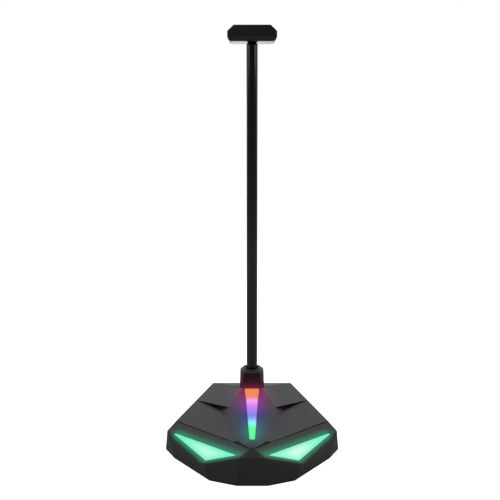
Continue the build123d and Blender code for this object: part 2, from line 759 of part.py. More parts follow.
def make_bottom_cover():
    """Cover with a visible edge, a plug inside the shell, foot pockets, posts and screw holes."""
    edge = faceted_block(COVER_INSET, 0) & slab(FOOT_STANDOFF, SHELL_Z)
    plug = faceted_block(WALL + COVER_SEAT_GAP, 0) & slab(FOOT_STANDOFF, COVER_TOP_Z)
    body = edge + plug
    for x, y in board_screws_at:
        body = body + rod(x, y, screw_pit_z, board_z, POST_BOSS_R)
        body = body - rod(x, y, screw_pit_z, BIG, SCREW_R + FIT)
    for x, y in eye_pins_at:
        body = body + rod(x, y, screw_pit_z, EYE_BOARD_Z, EYE_POST_R)
        body = body + rod(x, y, screw_pit_z, EYE_BOARD_Z + 1.5 * LED_BOARD_T, EYE_PIN_R)
    for x, y in ballast_screws_at:
        body = body - rod(x, y, screw_pit_z, BIG, SCREW_R + FIT)
    for x, y in feet_at:
        body = body - rod(x, y, 0, FOOT_T, FOOT_R + FIT)
    for x, y in housing_screws_at:
        body = body - rod(x, y, 0, BIG, SCREW_R + FIT)
        body = body - rod(x, y, 0, FOOT_STANDOFF + SCREW_HEAD_T, SCREW_HEAD_R + FIT)
    return body


ballast_head_z = COVER_TOP_Z + BALLAST_T - BALLAST_HEAD_SINK


def make_ballast():
    """Steel weight screwed to the cover, notched clear of the eye boards' posts."""
    body = block(0, ballast_y, COVER_TOP_Z, BALLAST_WIDTH, BALLAST_DEPTH, BALLAST_T)
    for x, y in eye_pins_at:
        body = body - rod(x, y, 0, BIG, BALLAST_NOTCH_R)
    for x, y in ballast_screws_at:
        body = body - rod(x, y, 0, BIG, SCREW_R + FIT)
        body = body - rod(x, y, ballast_head_z, BIG, SCREW_HEAD_R + FIT)
    return body


def make_ballast_screws():
    """Short screws that hold the weight down."""
    screws = []
    for x, y in ballast_screws_at:
        shank = rod(x, y, screw_pit_z + FIT, ballast_head_z, SCREW_R)
        screws.append(shank + rod(x, y, ballast_head_z, ballast_head_z + SCREW_HEAD_T, SCREW_HEAD_R))
    return Compound(children=screws)


def make_housing_screws():
    """Flat-headed screws from below into the shell's bosses."""
    screws = []
    for x, y in housing_screws_at:
        low = FOOT_STANDOFF + FIT
        shank = rod(x, y, low, FOOT_STANDOFF + SCREW_BITE, SCREW_R)
        head = rod(x, y, low, FOOT_STANDOFF + SCREW_HEAD_T, SCREW_HEAD_R)
        slot = block(x, y, low, SLOT_WIDTH, SLOT_LENGTH, SLOT_WIDTH)
        cross = block(x, y, low, SLOT_LENGTH, SLOT_WIDTH, SLOT_WIDTH)
        screws.append(shank + head - slot - cross)
    return Compound(children=screws)


def make_board_screws():
    """Pan-headed screws that hold the main board."""
    screws = []
    for x, y in board_screws_at:
        shank = rod(x, y, screw_pit_z + FIT, board_top, SCREW_R)
        screws.append(shank + rod(x, y, board_top, board_top + SCREW_HEAD_T, SCREW_HEAD_R))
    return Compound(children=screws)


def make_feet():
    """Rubber feet in the cover's pockets."""
    feet = []
    for x, y in feet_at:
        foot = rod(x, y, 0, FOOT_T, FOOT_R)
        edge = foot.edges().filter_by(GeomType.CIRCLE).sort_by(Axis.Z)[0]
        feet.append(chamfer(edge, FOOT_EDGE))
    return Compound(children=feet)


# ---------------------------------------------------------------- main board and sockets
def make_main_board():
    """Hub and light-control board on the cover's posts."""
    body = block(0, board_y, board_z, BOARD_WIDTH, BOARD_DEPTH, BOARD_T)
    for x, y in board_screws_at:
        body = body - rod(x, y, 0, BIG, SCREW_R + FIT)
    return body


def make_board_parts():
    """Controller chip, crystal, capacitor and plug headers on the main board."""
    front = board_y - BOARD_DEPTH / 2
    between = (CHIP_SIDE / 2 + HEADER_X) / 2 - HEADER[0] / 4
    pieces = [
        block(0, front + CHIP_SIDE, board_top, CHIP_SIDE, CHIP_SIDE, CHIP_T),
        block(between, front + HEADER[1], board_top, *CRYSTAL),
        block(-between, front + HEADER[1], board_top, CAN_SIDE, CAN_SIDE, CAN_T),
    ]
    for side in (1, -1):
        pieces.append(block(side * HEADER_X, front + HEADER[1] / 2 + FIT, board_top, *HEADER))
    return Compound(children=pieces)


def make_usb_shell(x):
    """Folded metal shell of a USB-A socket, open to the rear."""
    y = usb_mouth_y - USB_LENGTH / 2
    body = block(x, y, board_top, USB_WIDTH, USB_LENGTH, USB_HEIGHT)
    width = USB_WIDTH - 2 * USB_SHEET
    height = USB_HEIGHT - 2 * USB_SHEET
    return body - block(x, y + SOCKET_BACK, board_top + USB_SHEET, width, USB_LENGTH, height)


def make_usb_tongue(x):
    """Insulating tongue with its rear block inside a USB-A socket."""
    width = USB_WIDTH - 2 * USB_SHEET - 2 * SEAT_GAP
    height = USB_HEIGHT - 2 * USB_SHEET - 2 * SEAT_GAP
    start = usb_mouth_y - USB_LENGTH + SOCKET_BACK + SEAT_GAP
    low = board_top + USB_SHEET + SEAT_GAP
    body = block(x, start + USB_BLOCK / 2, low, width, USB_BLOCK, height)
    tongue_low = board_top + USB_HEIGHT - USB_SHEET - USB_TONGUE_DROP
    tongue_y = start + USB_BLOCK + USB_TONGUE[1] / 2 - 2 * USB_TONGUE[2] / 3
    return body + block(x, tongue_y, tongue_low, *USB_TONGUE)


def rounded_bar(x, y, mid_z, width, height, length):
    """Lying bar along Y with fully rounded sides."""
    flat = Pos(x, y, mid_z) * Box(width - height, length, height)
    for sign in (1, -1):
        end = Pos(x + sign * (width - height) / 2, y, mid_z) * Rot(90, 0, 0)
        flat = flat + end * Cylinder(height / 2, length)
    return flat


def make_power_inlet():
    """Metal shell of the USB-C power inlet."""
    y = usb_mouth_y - TYPE_C_LENGTH / 2
    width = TYPE_C_WIDTH - 2 * USB_SHEET
    height = TYPE_C_HEIGHT - 2 * USB_SHEET
    body = rounded_bar(0, y, type_c_mid_z, TYPE_C_WIDTH, TYPE_C_HEIGHT, TYPE_C_LENGTH)
    return body - rounded_bar(0, y + SOCKET_BACK, type_c_mid_z, width, height, TYPE_C_LENGTH)


def make_power_tongue():
    """Contact tongue of the power inlet."""
    start = usb_mouth_y - TYPE_C_LENGTH + SOCKET_BACK + SEAT_GAP
    width = TYPE_C_WIDTH - 2 * USB_SHEET - 2 * SEAT_GAP
    height = TYPE_C_HEIGHT - 2 * USB_SHEET - 2 * SEAT_GAP
    root_y = start + TYPE_C_BLOCK / 2
    root = rounded_bar(0, root_y, type_c_mid_z, width, height, TYPE_C_BLOCK)
    return root + Pos(0, start + TYPE_C_TONGUE[1] / 2, type_c_mid_z) * Box(*TYPE_C_TONGUE)


# ---------------------------------------------------------------- side fittings
def make_audio_jack():
    """Panel-mounted 3.5 mm socket: body inside the wall, barrel through it."""
    body = left_side_frame.offset(wall_inside - JACK_DEPTH) * Box(
        JACK_BODY, JACK_BODY, JACK_DEPTH, align=CENTRE_DOWN
    )
    face = JACK_NUT_T + JACK_THREAD_PROUD
    body = body + out_rod(left_side_frame, -JACK_DEPTH, face, JACK_BARREL_R)
    return body - out_rod(left_side_frame, wall_inside - JACK_DEPTH + JACK_BLIND, BIG, JACK_BORE_R)


def make_jack_nut():
    """Round slotted nut that holds the audio socket to the wall."""
    body = out_rod(left_side_frame, 0, JACK_NUT_T, JACK_NUT_R)
    body = body - out_rod(left_side_frame, -WALL, BIG, JACK_BARREL_R + FIT)
    floor = left_side_frame.offset(JACK_NUT_T - NUT_SLOT_DEPTH)
    return body - floor * Box(BIG, NUT_SLOT, BIG, align=CENTRE_DOWN)


flange_back = wall_inside - BUTTON_REST_GAP - BUTTON_FLANGE_T
switch_face = flange_back - PLUNGER_REACH


def make_mode_button():
    """Round push cap with a flange that keeps it behind the wall."""
    cap = out_rod(side_frame, flange_back, BUTTON_PROUD, BUTTON_R)
    outward = Axis(side_frame.origin, side_frame.z_dir)
    rim = cap.edges().filter_by(GeomType.CIRCLE).group_by(outward)[-1]
    cap = fillet(rim, BUTTON_EDGE_R)
    return cap + out_rod(side_frame, flange_back, flange_back + BUTTON_FLANGE_T, BUTTON_FLANGE_R)


def make_switch_plunger():
    """Stem of the tactile switch, moving with the cap."""
    return out_rod(side_frame, switch_face - PLUNGER_ROOT, flange_back, PLUNGER_R)


def make_tact_switch():
    """Body of the tactile switch with the bore for its stem."""
    body = side_frame.offset(switch_face - SWITCH_T) * Box(
        SWITCH_SIDE, SWITCH_SIDE, SWITCH_T, align=CENTRE_DOWN
    )
    pit = switch_face - PLUNGER_ROOT - 2 * BUTTON_TRAVEL
    return body - out_rod(side_frame, pit, switch_face + PLUNGER_REACH, PLUNGER_R + FIT)


def make_switch_board():
    """Small upright board that carries the tactile switch, standing on the cover."""
    back_face = side_frame.offset(switch_face - SWITCH_T - LED_BOARD_T)
    upright = Plane(
        origin=Vector(back_face.origin.X, back_face.origin.Y, COVER_TOP_Z),
        x_dir=side_run,
        z_dir=back_face.z_dir,
    )
    height = SIDE_PORT_Z - COVER_TOP_Z + SWITCH_BOARD_RISE
    return upright * Pos(0, height / 2, 0) * Box(
        SWITCH_BOARD_WIDTH, height, LED_BOARD_T, align=CENTRE_DOWN
    )


# ---------------------------------------------------------------- cradle
cradle_floor_z = POST_TOP_Z + CRADLE_FLOOR
cradle_lip_z = POST_TOP_Z + CRADLE_LIP_Z


def make_cradle():
    """U-shaped saddle with chamfered lips and rounded lower edges."""
    half_w = CRADLE_WIDTH / 2
    half_d = CRADLE_DEPTH / 2
    corner_z = cradle_lip_z - CRADLE_CHAMFER_Z
    outline = make_face(Polyline(
        (-half_w, POST_TOP_Z), (half_w, POST_TOP_Z), (half_w, corner_z),
        (CRADLE_TOP_HALF, cradle_lip_z), (-CRADLE_TOP_HALF, cradle_lip_z), (-half_w, corner_z),
        close=True,
    ))
    wall = Plane(origin=(0, POST_Y + half_d, 0), x_dir=(1, 0, 0), z_dir=(0, -1, 0))
    body = extrude(wall * outline, amount=CRADLE_DEPTH)
    low_edges = body.faces().sort_by(Axis.Z)[0].edges()
    body = fillet(low_edges, CRADLE_EDGE_R)
    gap = CRADLE_DEPTH - 2 * CRADLE_LIP
    body = body - block(0, POST_Y, cradle_floor_z, CRADLE_WIDTH + 10, gap, 40)
    body = body - rod(0, POST_Y, POST_TOP_Z - 1, POST_TOP_Z + POST_NECK_RISE, POST_NECK_R + FIT)
    body = body - rod(0, POST_Y, POST_TOP_Z - 1, cradle_floor_z + 1, CRADLE_SCREW_R + FIT)
    sink = cradle_floor_z - 1.3
    return body - rod(0, POST_Y, sink, cradle_floor_z + 1, CRADLE_SCREW_HEAD_R + FIT)


def make_cradle_screw():
    """Flat-headed screw through the cradle floor into the post."""
    head_top = cradle_floor_z - 0.05
    low = POST_TOP_Z + POST_NECK_RISE - CRADLE_SCREW_LENGTH + 0.5
    body = rod(0, POST_Y, low, head_top, CRADLE_SCREW_R)
    body = body + rod(0, POST_Y, cradle_floor_z - 1.3, head_top, CRADLE_SCREW_HEAD_R)
    socket = extrude(Pos(0, POST_Y, head_top - 1.0) * RegularPolygon(1.0, 6, major_radius=False), amount=2)
    return body - socket


def make_cradle_pad():
    """Soft pad on the cradle floor, crowned along X."""
    half_w = CRADLE_WIDTH / 2 - 0.6
    length = CRADLE_DEPTH - 2 * CRADLE_LIP - 2 * PAD_GAP
    low = cradle_floor_z
    top = low + PAD_T
    edge = top - PAD_CROWN
    line = Polyline((half_w, edge), (half_w, low), (-half_w, low), (-half_w, edge))
    crown = ThreePointArc((-half_w, edge), (0, top), (half_w, edge))
    face = make_face([line, crown])
    wall = Plane(origin=(0, POST_Y + length / 2, 0), x_dir=(1, 0, 0), z_dir=(0, -1, 0))
    return extrude(wall * face, amount=length)


# ---------------------------------------------------------------- inner ribbon leads
def strip(points, width):
    """Flat lead of square-cut straight runs in the level plane, with round joints."""
    z = board_top + STRIP_RISE
    body = None
    for a, b in zip(points, points[1:]):
        run = Vector(b[0] - a[0], b[1] - a[1], 0)
        turn = Vector(1, 0, 0).get_signed_angle(run, Vector(0, 0, 1))
        piece = Pos((a[0] + b[0]) / 2, (a[1] + b[1]) / 2, z) * Rot(0, 0, turn) * Box(
            run.length, width, STRIP_T, align=CENTRE_DOWN
        )
        body = piece if body is None else body + piece
    for x, y in points[1:-1]:
        body = body + rod(x, y, z, z + STRIP_T, width / 2)
    return body


def make_eye_lead():
    """Lead from the main board's header to the +X eye board."""
    front = board_y - BOARD_DEPTH / 2
    end = (eye_board_frame() * Pos(-LEAD_END_SHIFT, EYE_BOARD_WIDTH / 2 + LEAD_END_GAP, 0)).position
    return strip([
        (HEADER_X, front),
        (HEADER_X, front - STRIP_WIDTH),
        (LEAD_LANE_X, front - 3 * STRIP_WIDTH),
        (LEAD_LANE_X, end.Y + 2 * STRIP_WIDTH),
        (end.X, end.Y),
    ], STRIP_WIDTH)


# ---------------------------------------------------------------- write every piece
def write(name, shape):
    """Write one piece to its own STEP file."""
    export_step(shape, os.path.join("parts", name + ".step"))


def main():
    """Build and write the whole stand."""
    os.makedirs("parts", exist_ok=True)
    write("top_shell", make_top_shell())
    write("bottom_cover", make_bottom_cover())
    write("ballast_plate", make_ballast())
    write("ballast_screws", make_ballast_screws())
    write("housing_screws", make_housing_screws())
    write("rubber_feet", make_feet())
    write("collar", make_collar())
    write("post", make_post())
    write("stud_washer", make_washer())
    write("stud_nut", make_nut())
    write("cradle", make_cradle())
    write("cradle_screw", make_cradle_screw())
    write("cradle_pad", make_cradle_pad())
    write("blade_lens", make_blade_lens())
    write("blade_light_board", make_blade_board())
    write("blade_lamps", make_blade_leds())
    paired = {
        "eye_lens": make_eye_lens(),
        "eye_light_board": make_eye_board(),
        "eye_lamps": make_eye_leds(),
        "eye_lead": make_eye_lead(),
    }
    for name, shape in paired.items():
        write(name + "_right", shape)
        write(name + "_left", other_side(shape))
    write("main_board", make_main_board())
    write("board_parts", make_board_parts())
    write("board_screws", make_board_screws())
    for name, x in zip(("left", "right"), usb_x):
        write("usb_shell_" + name, make_usb_shell(x))
        write("usb_tongue_" + name, make_usb_tongue(x))
    write("power_inlet", make_power_inlet())
    write("power_tongue", make_power_tongue())
    write("audio_jack", make_audio_jack())
    write("jack_nut", make_jack_nut())
    write("mode_button", make_mode_button())
    write("switch_plunger", make_switch_plunger())
    write("tact_switch", make_tact_switch())
    write("switch_board", make_switch_board())


main()
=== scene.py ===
"""Looks of a lighted desk headphone stand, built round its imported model.

Every length is in metres, in the model's own frame: +Z up, -Y towards the viewer.
"""

import json
import logging
import math
from collections.abc import Callable
from dataclasses import dataclass, field
from enum import Enum

import bpy
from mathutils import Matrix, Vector

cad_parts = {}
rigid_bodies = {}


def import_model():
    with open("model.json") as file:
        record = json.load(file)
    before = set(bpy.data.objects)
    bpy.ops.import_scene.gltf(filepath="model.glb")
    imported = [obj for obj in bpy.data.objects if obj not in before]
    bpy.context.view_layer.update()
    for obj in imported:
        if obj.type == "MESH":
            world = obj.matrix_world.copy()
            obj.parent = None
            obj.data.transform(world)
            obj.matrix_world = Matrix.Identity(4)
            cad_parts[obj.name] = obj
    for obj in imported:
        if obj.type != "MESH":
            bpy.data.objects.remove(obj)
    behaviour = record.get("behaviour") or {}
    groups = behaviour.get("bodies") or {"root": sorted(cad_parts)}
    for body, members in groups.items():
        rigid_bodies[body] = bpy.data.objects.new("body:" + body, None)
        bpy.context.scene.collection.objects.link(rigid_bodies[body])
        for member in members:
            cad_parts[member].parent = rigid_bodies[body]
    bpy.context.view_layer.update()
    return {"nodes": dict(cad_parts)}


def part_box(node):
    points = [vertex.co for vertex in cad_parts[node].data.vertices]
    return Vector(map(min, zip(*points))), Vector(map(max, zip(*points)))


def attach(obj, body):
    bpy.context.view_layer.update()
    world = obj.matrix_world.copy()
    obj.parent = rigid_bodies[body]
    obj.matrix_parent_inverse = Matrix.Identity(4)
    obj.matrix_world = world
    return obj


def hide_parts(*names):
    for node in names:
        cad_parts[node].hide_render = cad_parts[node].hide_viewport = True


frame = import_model()
MM = 0.001
STAND = "stand"
BUTTON = "mode_button"

logging.basicConfig(level=logging.INFO, format="%(levelname)s %(message)s")
log = logging.getLogger("stand")

Colour = tuple[float, float, float]
Place = tuple[float, float, float]
Piece = bpy.types.Object
Socket = bpy.types.NodeSocket
Material = bpy.types.Material
Wanted = Callable[[Vector, Vector], bool]
BLACK: Colour = (0.0, 0.0, 0.0)
WHITE: Colour = (1.0, 1.0, 1.0)


def linear(red: int, green: int, blue: int) -> Colour:
    """Linear colour of a display colour given from 0 to 255."""

    def channel(value: int) -> float:
        """Linear value of one channel."""
        share = value / 255
        return share / 12.92 if share <= 0.04045 else ((share + 0.055) / 1.055) ** 2.4

    return (channel(red), channel(green), channel(blue))


# ---------------------------------------------------------------- shader expressions
class Value:
    """A number socket that takes part in expressions."""

    def __init__(self, graph: "Graph", socket: Socket) -> None:
        """Wrap a socket of a graph."""
        self.graph = graph
        self.socket = socket

    def __add__(self, other: "Value | float") -> "Value":
        """Sum."""
        return self.graph.maths("ADD", self, other)

    def __radd__(self, other: float) -> "Value":
        """Sum with a number on the left."""
        return self.graph.maths("ADD", other, self)

    def __sub__(self, other: "Value | float") -> "Value":
        """Difference."""
        return self.graph.maths("SUBTRACT", self, other)

    def __rsub__(self, other: float) -> "Value":
        """Difference from a number on the left."""
        return self.graph.maths("SUBTRACT", other, self)

    def __mul__(self, other: "Value | float") -> "Value":
        """Product."""
        return self.graph.maths("MULTIPLY", self, other)

    def __rmul__(self, other: float) -> "Value":
        """Product with a number on the left."""
        return self.graph.maths("MULTIPLY", other, self)

    def __truediv__(self, other: "Value | float") -> "Value":
        """Quotient."""
        return self.graph.maths("DIVIDE", self, other)

    def __pow__(self, other: "Value | float") -> "Value":
        """Power."""
        return self.graph.maths("POWER", self, other)

    def __abs__(self) -> "Value":
        """Size without sign."""
        return self.graph.maths("ABSOLUTE", self)

    def over(self, other: "Value | float") -> "Value":
        """The larger of the two."""
        return self.graph.maths("MAXIMUM", self, other)

    def under(self, other: "Value | float") -> "Value":
        """The smaller of the two."""
        return self.graph.maths("MINIMUM", self, other)

    def fade(self, reach: float) -> "Value":
        """Smooth falloff, 1 at zero and under 0.02 past twice the reach."""
        share = self.over(0.0) / reach
        return self.graph.maths("EXPONENT", share * share * -1.0)

    def rise(self, low: float, high: float, least: float = 0.0, most: float = 1.0) -> "Value":
        """Smooth step from least at low to most at high."""
        node = self.graph.make(
            "ShaderNodeMapRange",
            {"interpolation_type": "SMOOTHSTEP"},
            {"Value": self, "From Min": low, "From Max": high, "To Min": least, "To Max": most},
        )
        return Value(self.graph, node.outputs["Result"])


class Graph:
    """The node tree of one material, or of the room around the stand."""

    def __init__(self, name: str, room: bool = False) -> None:
        """Start a material or a room of that name with nothing but its coordinates.

        Args:
            name: Name of the material or room.
            room: Whether the tree is a room's; its coordinates are then the direction of view.
        """
        self.owner = (bpy.data.worlds if room else bpy.data.materials).new(name)
        self.owner.use_nodes = True
        self.tree = self.owner.node_tree
        self.tree.nodes.clear()
        places = self.make("ShaderNodeTexCoord", {}, {}).outputs
        self.coords = places["Generated" if room else "Object"]

    def make(
        self, kind: str, settings: dict[str, object], inputs: dict[str | int, object]
    ) -> bpy.types.Node:
        """Add one node.

        Args:
            kind: The node's type name.
            settings: Attributes set first; "stops" fills a colour ramp.
            inputs: Values or links by socket name or number.

        Returns:
            The new node.
        """
        node = self.tree.nodes.new(kind)
        for name, value in settings.items():
            if name == "stops":
                ramp = node.color_ramp
                while len(ramp.elements) < len(value):
                    ramp.elements.new(1.0)
                for element, (place, colour) in zip(ramp.elements, value):
                    element.position = place
                    element.color = (*colour, 1.0)
            else:
                setattr(node, name, value)
        for name, value in inputs.items():
            socket = node.inputs[name]
            if isinstance(value, Value):
                self.tree.links.new(value.socket, socket)
            elif isinstance(value, Socket):
                self.tree.links.new(value, socket)
            elif socket.type == "RGBA":
                socket.default_value = (*value, 1.0)
            else:
                socket.default_value = value
        return node

    def maths(
        self, operation: str, first: "Value | float", second: "Value | float" = 0.0
    ) -> Value:
        """One Math node as a value."""
        node = self.make("ShaderNodeMath", {"operation": operation}, {0: first, 1: second})
        return Value(self, node.outputs[0])

    def axes(self) -> tuple[Value, Value, Value]:
        """The three object coordinates."""
        node = self.make("ShaderNodeSeparateXYZ", {}, {"Vector": self.coords})
        return tuple(Value(self, node.outputs[i]) for i in range(3))

    def noise(self, scale: float, detail: float = 3.0, stretch: Colour = WHITE) -> Value:
        """Noise from 0 to 1 on object coordinates, stretched along the axes."""
        mapping = self.make("ShaderNodeMapping", {}, {"Vector": self.coords, "Scale": stretch})
        place = mapping.outputs["Vector"]
        inputs = {"Vector": place, "Scale": scale, "Detail": detail, "Roughness": 0.55}
        return Value(self, self.make("ShaderNodeTexNoise", {}, inputs).outputs["Fac"])

    def camera_ray(self) -> Value:
        """1 where the camera looks straight at the surface, and 0 in reflections."""
        return Value(self, self.make("ShaderNodeLightPath", {}, {}).outputs["Is Camera Ray"])

    def along(self, point: Vector, direction: Vector, folded: bool = False) -> Value:
        """Distance past a point along a direction; folded reads both sides as +X."""
        source = self.coords
        if folded:
            x, y, z = self.axes()
            source = self.make("ShaderNodeCombineXYZ", {}, {0: abs(x), 1: y, 2: z}).outputs[0]
        node = self.make(
            "ShaderNodeVectorMath", {"operation": "DOT_PRODUCT"}, {0: source, 1: tuple(direction)}
        )
        return Value(self, node.outputs["Value"]) - point.dot(direction)

    def ramp(self, value: Value, stops: tuple[tuple[float, Colour], ...]) -> Socket:
        """Colour read from a ramp."""
        node = self.make("ShaderNodeValToRGB", {"stops": stops}, {"Fac": value})
        return node.outputs["Color"]

    def mix(
        self,
        factor: "Value | float",
        first: Colour | Socket,
        second: Colour | Socket,
        blend: str = "MIX",
    ) -> Socket:
        """Mixed colour of two colours or colour sockets."""
        node = self.make(
            "ShaderNodeMix",
            {"data_type": "RGBA", "blend_type": blend},
            {0: factor, 6: first, 7: second},
        )
        return node.outputs[2]

    def bump(self, height: Value, distance: float, strength: float = 1.0) -> Socket:
        """Normal from a height."""
        node = self.make(
            "ShaderNodeBump", {}, {"Height": height, "Distance": distance, "Strength": strength}
        )
        return node.outputs["Normal"]

    def finish(self, **inputs: object) -> Material:
        """Close the tree with a principled shader and return the material."""
        named = {name.replace("_", " "): value for name, value in inputs.items()}
        shader = self.make("ShaderNodeBsdfPrincipled", {}, named)
        self.make("ShaderNodeOutputMaterial", {}, {"Surface": shader.outputs["BSDF"]})
        return self.owner


# ---------------------------------------------------------------- painted light spill
@dataclass(frozen=True)
class BladeGlow:
    """Colour and place of the centre light and of its spill, painted as glow on what is round it.
    """

    top: Vector = Vector((0.0, 30.94, 28.15)) * MM
    downhill: Vector = Vector((0.0, -0.99553, -0.0944))
    length: float = 70.3 * MM
    top_half: float = 5.45 * MM
    tip_half: float = 1.8 * MM
    spill: float = 4.6 * MM
    haze_reach: float = 2.2
    haze_share: float = 0.28
    span: float = 76.0 * MM
    lens_stops: tuple[tuple[float, Colour], ...] = (
        (0.0, linear(233, 148, 64)),
        (0.07, linear(245, 138, 84)),
        (0.155, linear(242, 134, 104)),
        (0.195, linear(245, 146, 150)),
        (0.220, linear(248, 157, 205)),
        (0.260, linear(249, 161, 240)),
        (0.325, linear(219, 133, 255)),
        (0.405, linear(184, 131, 238)),
        (0.520, linear(130, 129, 240)),
        (0.565, linear(134, 158, 246)),
        (0.618, linear(144, 210, 255)),
        (0.660, linear(138, 249, 238)),
        (0.735, linear(98, 252, 164)),
        (0.90, linear(86, 255, 144)),
    )
    # colours of the blade's light spill painted on the shell, along the blade
    spill_stops: tuple[tuple[float, Colour], ...] = (
        (0.0, (0.200, 0.002, 0.075)),
        (0.20, (0.215, 0.004, 0.150)),
        (0.34, (0.170, 0.004, 0.230)),
        (0.45, (0.055, 0.004, 0.200)),
        (0.54, (0.006, 0.020, 0.160)),
        (0.64, (0.001, 0.060, 0.140)),
        (0.80, (0.001, 0.110, 0.150)),
        (1.0, (0.001, 0.050, 0.045)),
    )

    def run(self, graph: Graph) -> Value:
        """Distance down the light from the collar."""
        return graph.along(self.top, self.downhill)

    def half_width(self, run: Value) -> Value:
        """Half the light's width at a distance down it."""
        return self.top_half - run * ((self.top_half - self.tip_half) / self.length)

    def spilled(self, graph: Graph) -> tuple[Value, Socket]:
        """Strength and colour of the painted light spill round the light.

        Args:
            graph: The material's graph.

        Returns:
            The mask from 0 to 1 and the colour socket.
        """
        run = self.run(graph)
        x, _, _ = graph.axes()
        aside = (abs(x) - self.half_width(run)).over(0.0)
        past = (run - self.length).over(0.0)
        away = (aside * aside + past * past) ** 0.5
        near = away.fade(self.spill) * (1.0 - self.haze_share)
        haze = away.fade(self.spill * self.haze_reach) * self.haze_share
        # painted light: the blade's spill on the surface round it, as a mask fading with distance
        mask = (near + haze) * run.rise(-self.spill, 0.0)
        return mask, graph.ramp(run / self.span, self.spill_stops)


@dataclass(frozen=True)
class EyeGlow:
    """Corners and colours of the two eye lights and of their spill, painted as glow on what is
    round them.
    """

    outer: Vector = Vector((54.7, -9.85, 13.69)) * MM
    inner: Vector = Vector((9.5, -50.6, 16.41)) * MM
    low: Vector = Vector((29.6, -46.05, 10.53)) * MM
    facing: Vector = Vector((0.3305, -0.3071, 0.8924))
    spill: float = 3.4 * MM
    # colour of the green light spill painted on the shell round each eye
    spill_colour: Colour = (0.0, 0.185, 0.085)
    side_weights: tuple[float, ...] = (1.1, 3.2, 1.6)
    outer_weight: float = 3.0
    flat_reach: tuple[float, float] = (0.1 * MM, 2.2 * MM)
    tail_reach: tuple[float, float] = (-8.0 * MM, 0.5 * MM)
    tail_fall: float = 0.88
    centre_colour: Colour = linear(206, 255, 234)
    end_colour: Colour = linear(122, 250, 206)

    def sides(self, graph: Graph) -> list[Value]:
        """Signed distances past the three sides of either eye."""
        corners = [self.outer, self.inner, self.low]
        middle = (self.outer + self.inner + self.low) / 3
        distances = []
        for start, end in zip(corners, corners[1:] + corners[:1]):
            across = (end - start).cross(self.facing).normalized()
            if across.dot(middle - start) > 0:
                across = -across
            distances.append(graph.along(start, across, folded=True))
        return distances

    def inside(self, graph: Graph) -> Value:
        """Distance inside the nearest side of either eye."""
        first, second, third = self.sides(graph)
        return first.over(second).over(third) * -1.0

    def spilled(self, graph: Graph) -> Value:
        """Mask of the painted light spill round each eye, rounded off past its corners."""
        lengthwise = (self.outer - self.inner).normalized()
        beyond = graph.along(self.outer, lengthwise, folded=True)
        past_outer = beyond.over(0.0)
        past_inner = graph.along(self.inner, -lengthwise, folded=True).over(0.0)
        total = past_outer * past_outer * self.outer_weight + past_inner * past_inner
        for distance, weight in zip(self.sides(graph), self.side_weights):
            outside = distance.over(0.0)
            total = total + outside * outside * weight
        height = abs(graph.along(self.outer, self.facing, folded=True))
        level = 1.0 - height.rise(*self.flat_reach)
        tail = 1.0 - beyond.rise(*self.tail_reach) * self.tail_fall
        return (total**0.5).fade(self.spill) * level * tail


# ---------------------------------------------------------------- finishes
@dataclass(frozen=True)
class Moulded:
    """Moulded plastic with a fine spark-eroded grain and handling marks; with a blade or eyes,
    their lamps' spill is painted on as glow, the base colour darkened under it.
    """

    name: str
    colour: Colour
    roughness: float = 0.42
    grain: float = 2600.0
    depth: float = 0.02 * MM
    mottle: float = 0.18
    gloss: float = 0.16
    blade: BladeGlow | None = None
    eyes: EyeGlow | None = None
    cloud_scale: float = 38.0
    smear_scale: float = 90.0
    smear_sway: float = 0.16
    grain_sway: float = 0.10
    # base colours and shares that darken the plastic under the painted lamp spill
    blade_spill_darkening: Colour = (0.004, 0.004, 0.005)
    blade_spill_darkening_share: float = 0.35
    eye_spill_darkening: Colour = (0.004, 0.008, 0.007)
    eye_spill_darkening_share: float = 0.6

    def build(self) -> Material:
        """Make the material."""
        graph = Graph(self.name)
        grain = graph.noise(self.grain, 2.0)
        cloud = graph.noise(self.cloud_scale, 4.0)
        smear = graph.noise(self.smear_scale, 3.0, (1.0, 0.25, 1.0))
        worn = tuple(min(1.0, c * 1.7 + 0.004) for c in self.colour)
        tint = graph.mix(cloud.rise(0.3, 0.7) * self.mottle, self.colour, worn)
        rough = self.roughness + (smear - 0.5) * self.smear_sway + (grain - 0.5) * self.grain_sway
        normal = graph.bump(grain, self.depth, 0.55)
        inputs: dict[str, object] = {}
        glow: Socket | None = None
        # painted light: the blade's and the eyes' spill is painted on as glow, with the base colour
        # darkened under it
        if self.blade:
            mask, colour = self.blade.spilled(graph)
            tint = graph.mix(mask * self.blade_spill_darkening_share, tint, self.blade_spill_darkening)
            glow = graph.mix(mask, BLACK, colour)
        if self.eyes:
            mask = self.eyes.spilled(graph)
            tint = graph.mix(mask * self.eye_spill_darkening_share, tint, self.eye_spill_darkening)
            green = graph.mix(mask, BLACK, self.eyes.spill_colour)
            glow = green if glow is None else graph.mix(1.0, glow, green, "ADD")
        if glow is not None:
            inputs = {"Emission_Color": glow, "Emission_Strength": 1.0}
        return graph.finish(
            Base_Color=tint, Roughness=rough, Normal=normal, Specular_IOR_Level=self.gloss, **inputs
        )


